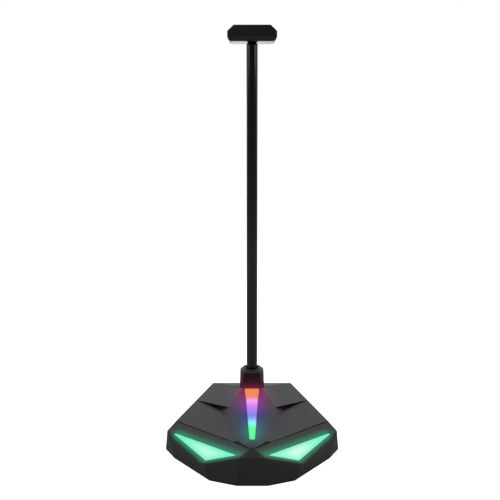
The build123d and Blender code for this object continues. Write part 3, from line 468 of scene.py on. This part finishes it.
@dataclass(frozen=True)
class Painted:
    """Satin or semi-gloss paint with a slight orange peel; the blade's light may be painted as glow
    at its foot.
    """

    name: str
    colour: Colour
    roughness: float = 0.28
    gloss: float = 0.16
    peel: float = 900.0
    # height, reach and colours of the blade light painted as glow on the foot
    foot: float = 0.0
    foot_reach: float = 7.0 * MM
    foot_spill_colour: Colour = BLACK
    foot_back: tuple[float, float] = (31.0 * MM, 44.0 * MM)
    hot_share: float = 0.42
    hot_half: float = 3.0 * MM
    hot_reach: float = 4.0 * MM
    hot_spill_colour: Colour = (0.110, 0.004, 0.040)

    def build(self) -> Material:
        """Make the material."""
        graph = Graph(self.name)
        peel = graph.noise(self.peel, 2.0)
        dust = graph.noise(4200.0, 1.0)
        smear = graph.noise(60.0, 3.0, (1.0, 1.0, 0.2))
        hazy = tuple(c * 1.8 + 0.003 for c in self.colour)
        tint = graph.mix(smear.rise(0.35, 0.75) * 0.25, self.colour, hazy)
        rough = self.roughness + (smear - 0.5) * 0.14 + (dust - 0.5) * 0.06
        normal = graph.bump(peel, 0.03 * MM, 0.35)
        inputs: dict[str, object] = {}
        # painted light: the blade's reddish spill on the front of the foot, brightest in the middle
        if self.foot:
            x, y, z = graph.axes()
            front = 1.0 - y.rise(*self.foot_back)
            height = z - self.foot
            middle = (abs(x) - self.hot_half).fade(self.hot_reach)
            near = height.fade(self.foot_reach * self.hot_share) * middle * front
            glow = graph.mix(height.fade(self.foot_reach) * front, BLACK, self.foot_spill_colour)
            hot = graph.mix(near, BLACK, self.hot_spill_colour)
            inputs = {"Emission_Color": graph.mix(1.0, glow, hot, "ADD"), "Emission_Strength": 1.0}
        return graph.finish(
            Base_Color=tint, Roughness=rough, Normal=normal, Specular_IOR_Level=self.gloss, **inputs
        )


@dataclass(frozen=True)
class Plated:
    """Plated or bare metal with fine drawn scratches and dull patches."""

    name: str
    colour: Colour
    roughness: float = 0.3
    drawn: Colour = (1.0, 12.0, 1.0)

    def build(self) -> Material:
        """Make the material."""
        graph = Graph(self.name)
        scratch = graph.noise(700.0, 4.0, self.drawn)
        patch = graph.noise(120.0, 3.0)
        dull = tuple(c * 0.62 for c in self.colour)
        tint = graph.mix(patch.rise(0.4, 0.8) * 0.6, self.colour, dull)
        rough = self.roughness + (patch - 0.5) * 0.2 + (scratch - 0.5) * 0.14
        normal = graph.bump(scratch, 0.01 * MM, 0.4)
        return graph.finish(Base_Color=tint, Roughness=rough, Normal=normal, Metallic=1.0)


@dataclass(frozen=True)
class Elastomer:
    """Rubber or silicone with a matt bloom and fine pits."""

    name: str
    colour: Colour
    roughness: float = 0.78

    def build(self) -> Material:
        """Make the material."""
        graph = Graph(self.name)
        pits = graph.noise(1800.0, 3.0)
        bloom = graph.noise(70.0, 4.0)
        chalky = tuple(c * 1.5 + 0.012 for c in self.colour)
        tint = graph.mix(bloom.rise(0.4, 0.75) * 0.4, self.colour, chalky)
        rough = self.roughness + (bloom - 0.5) * 0.16
        return graph.finish(
            Base_Color=tint, Roughness=rough, Normal=graph.bump(pits, 0.04 * MM, 0.6), IOR=1.42
        )


@dataclass(frozen=True)
class BladeLens:
    """Frosted lens lit from behind in bands of colour along its length."""

    name: str
    glow: BladeGlow
    rim_start: float = 0.62
    rim_fall: float = 0.22
    rim_colour: Colour = (0.02, 0.02, 0.03)

    def build(self) -> Material:
        """Make the material."""
        graph = Graph(self.name)
        run = self.glow.run(graph)
        frost = graph.noise(1500.0, 3.0)
        x, _, _ = graph.axes()
        colour = graph.ramp(run / self.glow.span, self.glow.lens_stops)
        edge = (abs(x) / self.glow.half_width(run)).rise(self.rim_start, 1.0)
        rim = edge * self.rim_fall + (frost - 0.5).over(0.0) * 0.1
        lit = graph.mix(rim, colour, self.rim_colour)
        return graph.finish(
            Base_Color=(0.008, 0.008, 0.008),
            Roughness=0.5 + (frost - 0.5) * 0.2,
            Normal=graph.bump(frost, 0.02 * MM, 0.5),
            Emission_Color=lit,
            Emission_Strength=1.0,
            Specular_IOR_Level=0.03,
        )


@dataclass(frozen=True)
class EyeLens:
    """Frosted lens lit mint green, brightest over its middle lamp; the -X one is fainter."""

    name: str
    glow: EyeGlow
    bright: float = 1.0
    faint: float = 0.62
    rim: float = 4.6 * MM
    rim_fall: float = 0.14
    rim_colour: Colour = (0.02, 0.35, 0.22)
    lamp_reach: float = 15.0 * MM
    side_step: float = 5.0 * MM

    def build(self) -> Material:
        """Make the material."""
        graph = Graph(self.name)
        frost = graph.noise(1500.0, 3.0)
        cloud = graph.noise(120.0, 2.0)
        inside = self.glow.inside(graph).rise(0.0, self.rim)
        middle = (self.glow.low * 2 + self.glow.outer + self.glow.inner) / 4
        across = (self.glow.outer - self.glow.inner).normalized()
        aside = abs(graph.along(middle, across, folded=True))
        hot = aside.fade(self.lamp_reach) * (inside * 0.65 + 0.35)
        x, _, _ = graph.axes()
        lamp = x.rise(-self.side_step, self.side_step) * (self.bright - self.faint) + self.faint
        white = (hot * lamp + (cloud - 0.5) * 0.2).under(1.0)
        colour = graph.mix(white, self.glow.end_colour, self.glow.centre_colour)
        lit = graph.mix((1.0 - inside) * self.rim_fall, colour, self.rim_colour)
        return graph.finish(
            Base_Color=(0.008, 0.01, 0.008),
            Roughness=0.5 + (frost - 0.5) * 0.2,
            Normal=graph.bump(frost, 0.02 * MM, 0.5),
            Emission_Color=lit,
            Emission_Strength=1.0,
            Specular_IOR_Level=0.03,
        )


@dataclass(frozen=True)
class SolderMask:
    """Circuit board: solder mask over traces."""

    name: str
    colour: Colour = (0.006, 0.055, 0.028)

    def build(self) -> Material:
        """Make the material."""
        graph = Graph(self.name)
        cells = graph.make(
            "ShaderNodeTexBrick",
            {"offset": 0.5},
            {
                "Vector": graph.coords,
                "Scale": 420.0,
                "Color1": WHITE,
                "Color2": (0.7, 0.7, 0.7),
                "Mortar": BLACK,
                "Mortar Size": 0.05,
            },
        )
        track = Value(graph, cells.outputs["Fac"])
        weave = graph.noise(900.0, 2.0)
        over_copper = tuple(c * 2.4 for c in self.colour)
        tint = graph.mix(track * 0.8, self.colour, over_copper)
        return graph.finish(
            Base_Color=tint,
            Roughness=0.32 + (weave - 0.5) * 0.16,
            Normal=graph.bump(track + weave * 0.2, 0.03 * MM, 0.5),
        )


@dataclass(frozen=True)
class Ribbon:
    """Flat ribbon lead with a painted shade line between each pair of wires."""

    name: str
    colour: Colour = (0.42, 0.42, 0.40)
    wire_pitch: float = 1.0 * MM

    def build(self) -> Material:
        """Make the material."""
        graph = Graph(self.name)
        x, _, _ = graph.axes()
        wires = graph.maths("SINE", x * (2 * math.pi / self.wire_pitch)) * 0.5 + 0.5
        dirt = graph.noise(260.0, 3.0)
        # painted shade: darker lines repeating at the wire pitch, in step with the wire bumps
        shade_line_colour = tuple(c * 0.55 for c in self.colour)
        tint = graph.mix(wires * 0.5 + dirt * 0.2, self.colour, shade_line_colour)
        return graph.finish(
            Base_Color=tint, Roughness=0.5 + dirt * 0.15, Normal=graph.bump(wires, 0.1 * MM, 0.6)
        )


class Look(Enum):
    """Finishes of the stand's pieces, by the record's slot where there is one."""

    SHELL = "shell"
    COVER = "cover"
    COLLAR = "collar"
    POST = "post"
    CRADLE = "cradle"
    CRADLE_SOLE = "cradle_sole"
    PAD = "pad"
    FEET = "feet"
    BALLAST = "ballast"
    FASTENER = "fastener"
    BLADE = "blade_lens"
    EYE = "eye_lens"
    BOARD = "board"
    CHIP = "chip"
    LAMP = "lamp"
    SOCKET = "socket"
    TONGUE = "tongue"
    JACK = "jack"
    JACK_NUT = "jack_nut"
    BUTTON = "button"
    PLUNGER = "plunger"
    LEAD = "lead"
    GOLD = "gold"


class Finishes:
    """Makes each finish once and hands it out."""

    def __init__(self) -> None:
        """List the recipe of each look."""
        blade = BladeGlow()
        eyes = EyeGlow()
        self.made: dict[Look, Material] = {}
        self.recipes: dict[Look, object] = {
            Look.SHELL: Moulded(
                "shell_charcoal",
                (0.0135, 0.0135, 0.0138),
                0.44,
                gloss=0.21,
                blade=blade,
                eyes=eyes,
            ),
            Look.COVER: Moulded(
                "cover_black", (0.0014, 0.0014, 0.0015), 0.62, mottle=0.05, gloss=0.03
            ),
            Look.COLLAR: Painted(
                "collar_black",
                (0.008, 0.0075, 0.0075),
                0.36,
                # the collar's foot carries the blade's light, painted on as glow
                foot=28.0 * MM,
                foot_spill_colour=(0.042, 0.004, 0.010),
            ),
            Look.POST: Painted("post_black", (0.0045, 0.0045, 0.0048), 0.16, 0.34),
            Look.CRADLE: Moulded(
                "cradle_black", (0.0065, 0.0065, 0.0065), 0.30, grain=3200.0, gloss=0.34
            ),
            Look.CRADLE_SOLE: Moulded(
                "cradle_sole_gloss", (0.0075, 0.0075, 0.0075), 0.16, grain=900.0, gloss=0.60
            ),
            Look.PAD: Elastomer("pad_black", (0.012, 0.012, 0.012)),
            Look.FEET: Elastomer("feet_black", (0.010, 0.010, 0.010), 0.85),
            Look.BALLAST: Plated("ballast_grey", (0.10, 0.10, 0.105), 0.55),
            Look.FASTENER: Plated("fastener_zinc", (0.56, 0.56, 0.58), 0.28),
            Look.BLADE: BladeLens("blade_lens_lit", blade),
            Look.EYE: EyeLens("eye_lens_lit", eyes),
            Look.BOARD: SolderMask("board_green"),
            Look.CHIP: Moulded("chip_epoxy", (0.012, 0.012, 0.012), 0.55, grain=5000.0),
            Look.LAMP: Moulded("lamp_resin", (0.72, 0.72, 0.60), 0.22, grain=6000.0),
            Look.SOCKET: Plated("socket_tin", (0.62, 0.62, 0.64), 0.24),
            Look.TONGUE: Moulded("tongue_black", (0.010, 0.010, 0.011), 0.45),
            Look.JACK: Moulded("jack_black", (0.012, 0.012, 0.012), 0.4),
            Look.JACK_NUT: Plated("jack_nut_chrome", (0.70, 0.70, 0.72), 0.12),
            Look.BUTTON: Moulded(
                "button_graphite", (0.030, 0.030, 0.032), 0.24, grain=3600.0, gloss=0.42
            ),
            Look.PLUNGER: Moulded("plunger_red", (0.42, 0.012, 0.010), 0.4),
            Look.LEAD: Ribbon("lead_grey"),
            Look.GOLD: Plated("contact_gold", (0.83, 0.58, 0.22), 0.2, drawn=WHITE),
        }

    def get(self, look: Look) -> Material:
        """The material of a look, made when it is first asked for."""
        if look not in self.made:
            self.made[look] = self.recipes[look].build()
        return self.made[look]

    def dress(self, piece: Piece, look: Look) -> None:
        """Give a piece one finish all over."""
        piece.data.materials.clear()
        piece.data.materials.append(self.get(look))


# ---------------------------------------------------------------- modelling by operators
class Bench:
    """Modelling steps shared by every sub-assembly."""

    same_point: float = 0.002 * MM
    flat: float = math.radians(0.6)
    any_shape: float = math.radians(180)
    flat_slack: float = 0.0005

    def __init__(self, finishes: Finishes) -> None:
        """Keep the finishes."""
        self.finishes = finishes

    @staticmethod
    def clear() -> None:
        """Deselect everything, out of edit mode."""
        if bpy.context.object and bpy.context.object.mode != "OBJECT":
            bpy.ops.object.mode_set(mode="OBJECT")
        bpy.ops.object.select_all(action="DESELECT")

    def hold(self, piece: Piece) -> None:
        """Select one piece alone and make it active."""
        self.clear()
        piece.select_set(True)
        bpy.context.view_layer.objects.active = piece

    def edit(self, piece: Piece, action: str = "SELECT") -> None:
        """Open a piece for editing with everything selected, or with "DESELECT" nothing."""
        self.hold(piece)
        bpy.ops.object.mode_set(mode="EDIT")
        bpy.ops.mesh.select_mode(type="FACE")
        bpy.ops.mesh.select_all(action=action)

    def pick(self, piece: Piece, wanted: Wanted) -> None:
        """Select the faces of a piece whose centre and normal are wanted, and open it.

        Args:
            piece: The piece.
            wanted: Test of a face's centre and normal.
        """
        self.edit(piece, "DESELECT")
        bpy.ops.object.mode_set(mode="OBJECT")
        for face in piece.data.polygons:
            face.select = bool(wanted(face.center, face.normal))
        bpy.ops.object.mode_set(mode="EDIT")

    def modify(self, piece: Piece, kind: str, **settings: object) -> None:
        """Add a modifier with its settings and apply it."""
        self.hold(piece)
        modifier = piece.modifiers.new(kind.lower(), kind)
        for name, value in settings.items():
            setattr(modifier, name, value)
        bpy.ops.object.modifier_apply(modifier=modifier.name)

    @staticmethod
    def skin_area(piece: Piece) -> float:
        """Area of a piece as it is drawn, triangle by triangle."""
        piece.data.calc_loop_triangles()
        return sum(triangle.area for triangle in piece.data.loop_triangles)

    def copy_of(self, node: str, name: str, merge: bool = True) -> Piece:
        """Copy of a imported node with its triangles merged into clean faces.

        Args:
            node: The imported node.
            name: Name of the copy.
            merge: Whether flat neighbours become one face; otherwise triangles only pair up.

        Returns:
            The copy.
        """
        source = frame["nodes"][node]
        self.hold(source)
        bpy.ops.object.duplicate()
        piece = bpy.context.object
        bpy.ops.object.parent_clear(type="CLEAR_KEEP_TRANSFORM")
        piece.name = name
        piece.data.name = name
        for key in list(piece.keys()):
            if key.startswith("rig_"):
                del piece[key]
        self.edit(piece)
        bpy.ops.mesh.customdata_custom_splitnormals_clear()
        bpy.ops.mesh.remove_doubles(threshold=self.same_point)
        if merge:
            bpy.ops.mesh.dissolve_limited(angle_limit=self.flat, delimit=set())
        else:
            bpy.ops.mesh.tris_convert_to_quads(
                face_threshold=self.flat, shape_threshold=self.any_shape
            )
        bpy.ops.object.mode_set(mode="OBJECT")
        return piece

    def settle(
        self, piece: Piece, look: Look, body: str = STAND, sharp: float = 32.0
    ) -> Piece:
        """Bake the place into the mesh, smooth, dress and hang a piece on its body.

        Args:
            piece: The piece.
            look: Its finish.
            body: The body it rides on.
            sharp: Edges sharper than this stay sharp, in degrees.

        Returns:
            The same piece.
        """
        self.hold(piece)
        bpy.ops.object.transform_apply(location=True, rotation=True, scale=True)
        bpy.ops.object.shade_smooth_by_angle(angle=math.radians(sharp))
        self.modify(piece, "WEIGHTED_NORMAL", mode="FACE_AREA", weight=100, keep_sharp=True)
        self.finishes.dress(piece, look)
        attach(piece, body)
        log.info("made %s: %d faces", piece.name, len(piece.data.polygons))
        return piece

    def dress_part(self, piece: Piece, look: Look, wanted: Wanted) -> None:
        """Give the wanted faces of a piece a second finish."""
        piece.data.materials.append(self.finishes.get(look))
        self.pick(piece, wanted)
        piece.active_material_index = len(piece.data.materials) - 1
        bpy.ops.object.material_slot_assign()
        bpy.ops.object.mode_set(mode="OBJECT")

    def softened(
        self,
        node: str,
        look: Look,
        width: float,
        steps: int = 2,
        angle: float = 28.0,
        body: str = STAND,
        slack: float = 0.03,
    ) -> Piece:
        """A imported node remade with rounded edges, in its place.

        Args:
            node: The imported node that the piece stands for.
            look: Its finish.
            width: Width of the rounding.
            steps: Faces across each rounding.
            angle: Edges sharper than this are rounded, in degrees.
            body: The body it rides on.
            slack: Share of the area that merging and rounding may change; past it, the
                triangles are left unmerged.

        Returns:
            The new piece.
        """
        whole = self.skin_area(frame["nodes"][node])
        for merge in (True, False):
            piece = self.copy_of(node, node + "_skin", merge)
            flat_change = abs(self.skin_area(piece) / whole - 1)
            self.modify(
                piece,
                "BEVEL",
                width=width,
                segments=steps,
                limit_method="ANGLE",
                angle_limit=math.radians(angle),
                harden_normals=False,
                use_clamp_overlap=True,
                miter_outer="MITER_ARC",
            )
            change = abs(self.skin_area(piece) / whole - 1)
            log.info("%s merged %s: area change %.5f then %.5f", node, merge, flat_change, change)
            if not merge or (flat_change < self.flat_slack and change < slack):
                break
            bpy.data.objects.remove(piece)
        self.settle(piece, look, body)
        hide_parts(node)
        return piece


# ---------------------------------------------------------------- sub-assemblies
@dataclass
class Base:
    """Top shell, cover, feet and lenses."""

    bench: Bench
    edge: float = 0.28 * MM
    facet_angle: float = 7.0
    cover_edge: float = 0.168 * MM
    lens_edge: float = 0.16 * MM
    eye_slack: float = 0.004
    foot_ring: float = 1.1 * MM
    foot_dish: float = 0.35 * MM
    foot_crown: float = 0.245 * MM

    def shell(self) -> None:
        """Faceted shell with every outer edge eased, and the cover under it."""
        self.bench.softened("top_shell", Look.SHELL, self.edge, 2, self.facet_angle)
        self.bench.softened("bottom_cover", Look.COVER, self.cover_edge)

    def lenses(self) -> None:
        """Three frosted lenses with eased rims."""
        self.bench.softened("blade_lens", Look.BLADE, self.lens_edge)
        for side in ("left", "right"):
            name = f"eye_lens_{side}"
            self.bench.softened(name, Look.EYE, self.lens_edge, slack=self.eye_slack)

    def feet(self) -> None:
        """Rubber feet, each with a dished sole inside a raised ring."""
        feet = self.bench.copy_of("rubber_feet", "rubber_feet_skin")
        self.bench.pick(feet, lambda centre, normal: normal.z < -0.95 and centre.z < 0.01 * MM)
        for width, depth in (
            (self.foot_ring, 0.0),
            (self.foot_dish, -self.foot_dish),
            (self.foot_ring, 0.0),
            (self.foot_dish, self.foot_crown),
        ):
            bpy.ops.mesh.inset(thickness=width, depth=depth, use_individual=True)
        self.bench.settle(feet, Look.FEET)
        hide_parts("rubber_feet")

    def build(self) -> None:
        """Make the base's visible pieces."""
        self.shell()
        self.lenses()
        self.feet()


@dataclass
class Column:
    """Collar and post."""

    bench: Bench
    collar_edge: float = 0.55 * MM
    post_edge: float = 0.3 * MM

    def build(self) -> None:
        """Make the collar and the post."""
        self.bench.softened("collar", Look.COLLAR, self.collar_edge, 3, 20.0)
        self.bench.softened("post", Look.POST, self.post_edge, 2, 35.0)


@dataclass
class Saddle:
    """Cradle and its ribbed pad."""

    bench: Bench
    cradle_edge: float = 0.75 * MM
    rib_pitch: float = 2.6 * MM
    rib_width: float = 0.9 * MM
    rib_depth: float = 0.28 * MM
    rib_round: float = 0.12 * MM

    def pad(self) -> None:
        """Silicone pad whose top is cut into grooves across the headband."""
        pad = self.bench.copy_of("cradle_pad", "cradle_pad_skin")
        low, high = (Vector(corner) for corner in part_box("cradle_pad"))
        self.bench.edit(pad)
        count = int((high.y - low.y) / self.rib_pitch)
        start = (low.y + high.y) / 2 - (count - 1) / 2 * self.rib_pitch
        grooves = [start + index * self.rib_pitch for index in range(count)]
        for middle in grooves:
            for side in (-0.5, 0.5):
                cut = (0, middle + side * self.rib_width, 0)
                bpy.ops.mesh.select_all(action="SELECT")
                bpy.ops.mesh.bisect(plane_co=cut, plane_no=(0, 1, 0))

        def in_groove(centre: Vector, normal: Vector) -> bool:
            """Whether a face is the top of a groove."""
            reach = self.rib_width * 0.45
            return normal.z > 0.9 and any(abs(centre.y - middle) < reach for middle in grooves)

        self.bench.pick(pad, in_groove)
        bpy.ops.mesh.inset(thickness=self.rib_width * 0.12, depth=-self.rib_depth)
        bpy.ops.object.mode_set(mode="OBJECT")
        self.bench.modify(
            pad,
            "BEVEL",
            width=self.rib_round,
            segments=2,
            limit_method="ANGLE",
            angle_limit=math.radians(40),
        )
        self.bench.settle(pad, Look.PAD)
        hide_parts("cradle_pad")

    def build(self) -> None:
        """Make the cradle and the pad."""
        cradle = self.bench.softened("cradle", Look.CRADLE, self.cradle_edge, 3, 25.0)
        self.bench.dress_part(cradle, Look.CRADLE_SOLE, lambda centre, normal: normal.z < -0.9)
        self.pad()


@dataclass
class RearPorts:
    """Sockets in the rear wall and fittings in the side walls."""

    bench: Bench
    contact_width: float = 1.0 * MM
    contact_thick: float = 0.22 * MM
    contact_length: float = 7.2 * MM
    contact_places: tuple[float, ...] = (-3.5 * MM, -1.0 * MM, 1.0 * MM, 3.5 * MM)
    contact_inset: float = 0.7 * MM
    tongue_drop: float = 2.55 * MM
    fine_width: float = 0.26 * MM
    fine_thick: float = 0.06 * MM
    fine_length: float = 3.4 * MM
    fine_pitch: float = 0.5 * MM
    fine_inset: float = 0.5 * MM
    fine_count: int = 12
    blade_half: float = 0.35 * MM
    tip_start: float = 0.36
    tip_lift: float = 0.45
    tip_round: float = 0.2
    shell_edge: float = 0.1 * MM
    nut_edge: float = 0.18 * MM
    jack_edge: float = 0.15 * MM
    button_edge: float = 0.12 * MM
    round_angle: float = 40.0

    def contact(self, name: str, centre: Vector, size: Vector) -> Piece:
        """One sprung contact: a bar with its tip turned away from the plug."""
        self.bench.clear()
        bpy.ops.mesh.primitive_cube_add(size=1.0, location=centre, scale=size)
        bar = bpy.context.object
        bar.name = name
        self.bench.hold(bar)
        bpy.ops.object.transform_apply(location=True, rotation=True, scale=True)
        self.bench.edit(bar)
        tip = (0, centre.y + size.y * self.tip_start, 0)
        bpy.ops.mesh.bisect(plane_co=tip, plane_no=(0, 1, 0))
        self.bench.pick(bar, lambda middle, normal: normal.y > 0.9)
        bpy.ops.transform.translate(value=(0, 0, size.z * self.tip_lift))
        bpy.ops.object.mode_set(mode="OBJECT")
        self.bench.modify(bar, "BEVEL", width=size.z * self.tip_round, segments=2)
        return bar

    def contacts(self, name: str, centres: list[Vector], size: Vector) -> None:
        """Gold contacts: one is modelled, copied to the other places and joined with them.

        Args:
            name: Name of the joined piece.
            centres: Centre of each contact.
            size: Width, length and thickness of one contact.
        """
        first = self.contact(name, centres[0], size)
        bars = [first]
        for centre in centres[1:]:
            self.bench.hold(first)
            bpy.ops.object.duplicate()
            bpy.ops.transform.translate(value=centre - centres[0])
            bars.append(bpy.context.object)
        self.bench.clear()
        for bar in bars:
            bar.select_set(True)
        bpy.context.view_layer.objects.active = first
        bpy.ops.object.join()
        self.bench.settle(first, Look.GOLD)

    def usb(self, side: str) -> None:
        """Contacts under one tongue."""
        low, high = (Vector(corner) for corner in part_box(f"usb_tongue_{side}"))
        size = Vector((self.contact_width, self.contact_length, self.contact_thick))
        y = high.y - self.contact_inset - size.y / 2
        z = high.z - self.tongue_drop - size.z / 2
        middle = (low + high) / 2
        centres = [Vector((middle.x + x, y, z)) for x in self.contact_places]
        self.contacts(f"usb_contacts_{side}", centres, size)

    def inlet(self) -> None:
        """Two rows of fine contacts on the inlet's tongue."""
        low, high = (Vector(corner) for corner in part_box("power_tongue"))
        size = Vector((self.fine_width, self.fine_length, self.fine_thick))
        y = high.y - self.fine_inset - size.y / 2
        off_middle = self.blade_half + size.z / 2
        centres = [
            Vector((x * self.fine_pitch, y, (low.z + high.z) / 2 + way * off_middle))
            for x in (index - (self.fine_count - 1) / 2 for index in range(self.fine_count))
            for way in (1, -1)
        ]
        self.contacts("power_contacts", centres, size)

    def build(self) -> None:
        """Make the sockets' shells and contacts, the jack, its nut and the button."""
        for side in ("left", "right"):
            self.bench.softened(f"usb_shell_{side}", Look.SOCKET, self.shell_edge)
            self.usb(side)
        blunt = self.round_angle
        self.bench.softened("power_inlet", Look.SOCKET, self.shell_edge, angle=blunt)
        self.inlet()
        self.bench.softened("jack_nut", Look.JACK_NUT, self.nut_edge, angle=blunt)
        self.bench.softened("audio_jack", Look.JACK, self.jack_edge, angle=blunt)
        self.bench.softened("mode_button", Look.BUTTON, self.button_edge, 2, blunt, BUTTON)


@dataclass
class Inside:
    """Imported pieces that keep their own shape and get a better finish."""

    bench: Bench
    looks: dict[str, Look] = field(
        default_factory=lambda: {
            "ballast_plate": Look.BALLAST,
            "ballast_screws": Look.FASTENER,
            "housing_screws": Look.FASTENER,
            "stud_washer": Look.FASTENER,
            "stud_nut": Look.FASTENER,
            "cradle_screw": Look.FASTENER,
            "blade_light_board": Look.BOARD,
            "blade_lamps": Look.LAMP,
            "eye_light_board_left": Look.BOARD,
            "eye_light_board_right": Look.BOARD,
            "eye_lamps_left": Look.LAMP,
            "eye_lamps_right": Look.LAMP,
            "eye_lead_left": Look.LEAD,
            "eye_lead_right": Look.LEAD,
            "main_board": Look.BOARD,
            "board_parts": Look.CHIP,
            "board_screws": Look.FASTENER,
            "usb_tongue_left": Look.TONGUE,
            "usb_tongue_right": Look.TONGUE,
            "power_tongue": Look.TONGUE,
            "switch_plunger": Look.PLUNGER,
            "tact_switch": Look.TONGUE,
            "switch_board": Look.BOARD,
        }
    )

    def build(self) -> None:
        """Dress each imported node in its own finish."""
        for node, look in self.looks.items():
            piece = frame["nodes"][node]
            material = self.bench.finishes.get(look)
            for slot in piece.material_slots:
                slot.material = material
            log.info("dressed %s as %s", node, look.value)


# ---------------------------------------------------------------- studio
@dataclass(frozen=True)
class SoftLight:
    """Soft rectangular light aimed at a point."""

    name: str
    place: Place
    aim: Place
    size: tuple[float, float]
    power: float

    def build(self) -> None:
        """Add the light."""
        Bench.clear()
        bpy.ops.object.light_add(type="AREA", location=self.place)
        lamp = bpy.context.object
        lamp.name = self.name
        lamp.data.shape = "RECTANGLE"
        lamp.data.size, lamp.data.size_y = self.size
        lamp.data.energy = self.power
        way = Vector(self.aim) - Vector(self.place)
        lamp.rotation_euler = way.to_track_quat("-Z", "Y").to_euler()


@dataclass
class Studio:
    """Floor, surroundings, soft lights and the camera."""

    camera_place: Vector = Vector((-1.41, -510.35, 241.3)) * MM
    camera_pitch: float = 11.55
    lens: float = 57.04
    sensor: float = 36.0
    nearest: float = 0.01
    floor_size: float = 60.0
    floor_tone: Colour = (0.42, 0.42, 0.42)
    floor_seen: float = 0.95
    floor_bounce: float = 0.85
    floor_far: tuple[float, float] = (0.4, 1.6)
    room_turn: tuple[float, float] = (-0.1, 0.75)
    room_glow: tuple[float, float] = (0.08, 1.0)
    lights: tuple[SoftLight, ...] = (
        SoftLight("top_soft", (0.0, 0.25, 1.25), (0.0, 0.0, 0.0), (1.6, 1.3), 12.0),
        SoftLight("left_box", (-0.70, -0.20, 0.56), (0.0, 0.04, 0.26), (0.70, 0.62), 2.2),
        SoftLight("right_box", (0.70, -0.20, 0.56), (0.0, 0.04, 0.26), (0.70, 0.62), 2.8),
        SoftLight("front_soft", (-0.35, -0.9, 0.65), (0.0, 0.0, 0.1), (0.5, 0.5), 1.6),
    )

    def floor(self) -> None:
        """Plain pale floor, white when looked at and dim in reflections near the stand."""
        Bench.clear()
        bpy.ops.mesh.primitive_plane_add(size=self.floor_size, location=(0, 0, 0))
        floor = bpy.context.object
        floor.name = "studio_floor"
        graph = Graph("floor_pale")
        speck = graph.noise(4.0, 2.0)
        behind = graph.axes()[1].rise(*self.floor_far)
        white = (graph.camera_ray() * self.floor_seen).over(behind * self.floor_bounce)
        material = graph.finish(
            Base_Color=self.floor_tone,
            Roughness=0.9 + speck * 0.05,
            Emission_Color=graph.mix(white, BLACK, WHITE),
            Emission_Strength=1.0,
            Specular_IOR_Level=0.0,
        )
        floor.data.materials.append(material)

    def surroundings(self) -> None:
        """Pale room: white behind the stand, dimmer behind the viewer, white when looked at."""
        graph = Graph("pale_room", room=True)
        strength = graph.axes()[1].rise(*self.room_turn, *self.room_glow)
        glow = graph.make("ShaderNodeBackground", {}, {"Color": WHITE, "Strength": strength})
        seen = graph.make("ShaderNodeBackground", {}, {"Color": WHITE})
        both = {0: graph.camera_ray(), 1: glow.outputs[0], 2: seen.outputs[0]}
        mixed = graph.make("ShaderNodeMixShader", {}, both)
        graph.make("ShaderNodeOutputWorld", {}, {"Surface": mixed.outputs[0]})
        bpy.context.scene.world = graph.owner

    def camera(self) -> None:
        """Camera at the viewing place, looking down the middle."""
        data = bpy.data.cameras.new("viewer")
        data.lens = self.lens
        data.sensor_width = self.sensor
        data.clip_start = self.nearest
        camera = bpy.data.objects.new("viewer", data)
        bpy.context.scene.collection.objects.link(camera)
        camera.location = self.camera_place
        camera.rotation_euler = (math.radians(90 - self.camera_pitch), 0, 0)
        bpy.context.scene.camera = camera

    def build(self) -> None:
        """Set up the studio."""
        bpy.context.scene.view_settings.view_transform = "Standard"
        self.camera()
        self.floor()
        self.surroundings()
        for light in self.lights:
            light.build()
        log.info("studio ready")


def main() -> None:
    """Build the studio and every sub-assembly in order."""
    Studio().build()
    bench = Bench(Finishes())
    for part in (Base(bench), Column(bench), Saddle(bench), RearPorts(bench), Inside(bench)):
        part.build()
        log.info("finished %s", type(part).__name__)


if __name__ == "__main__":
    main()
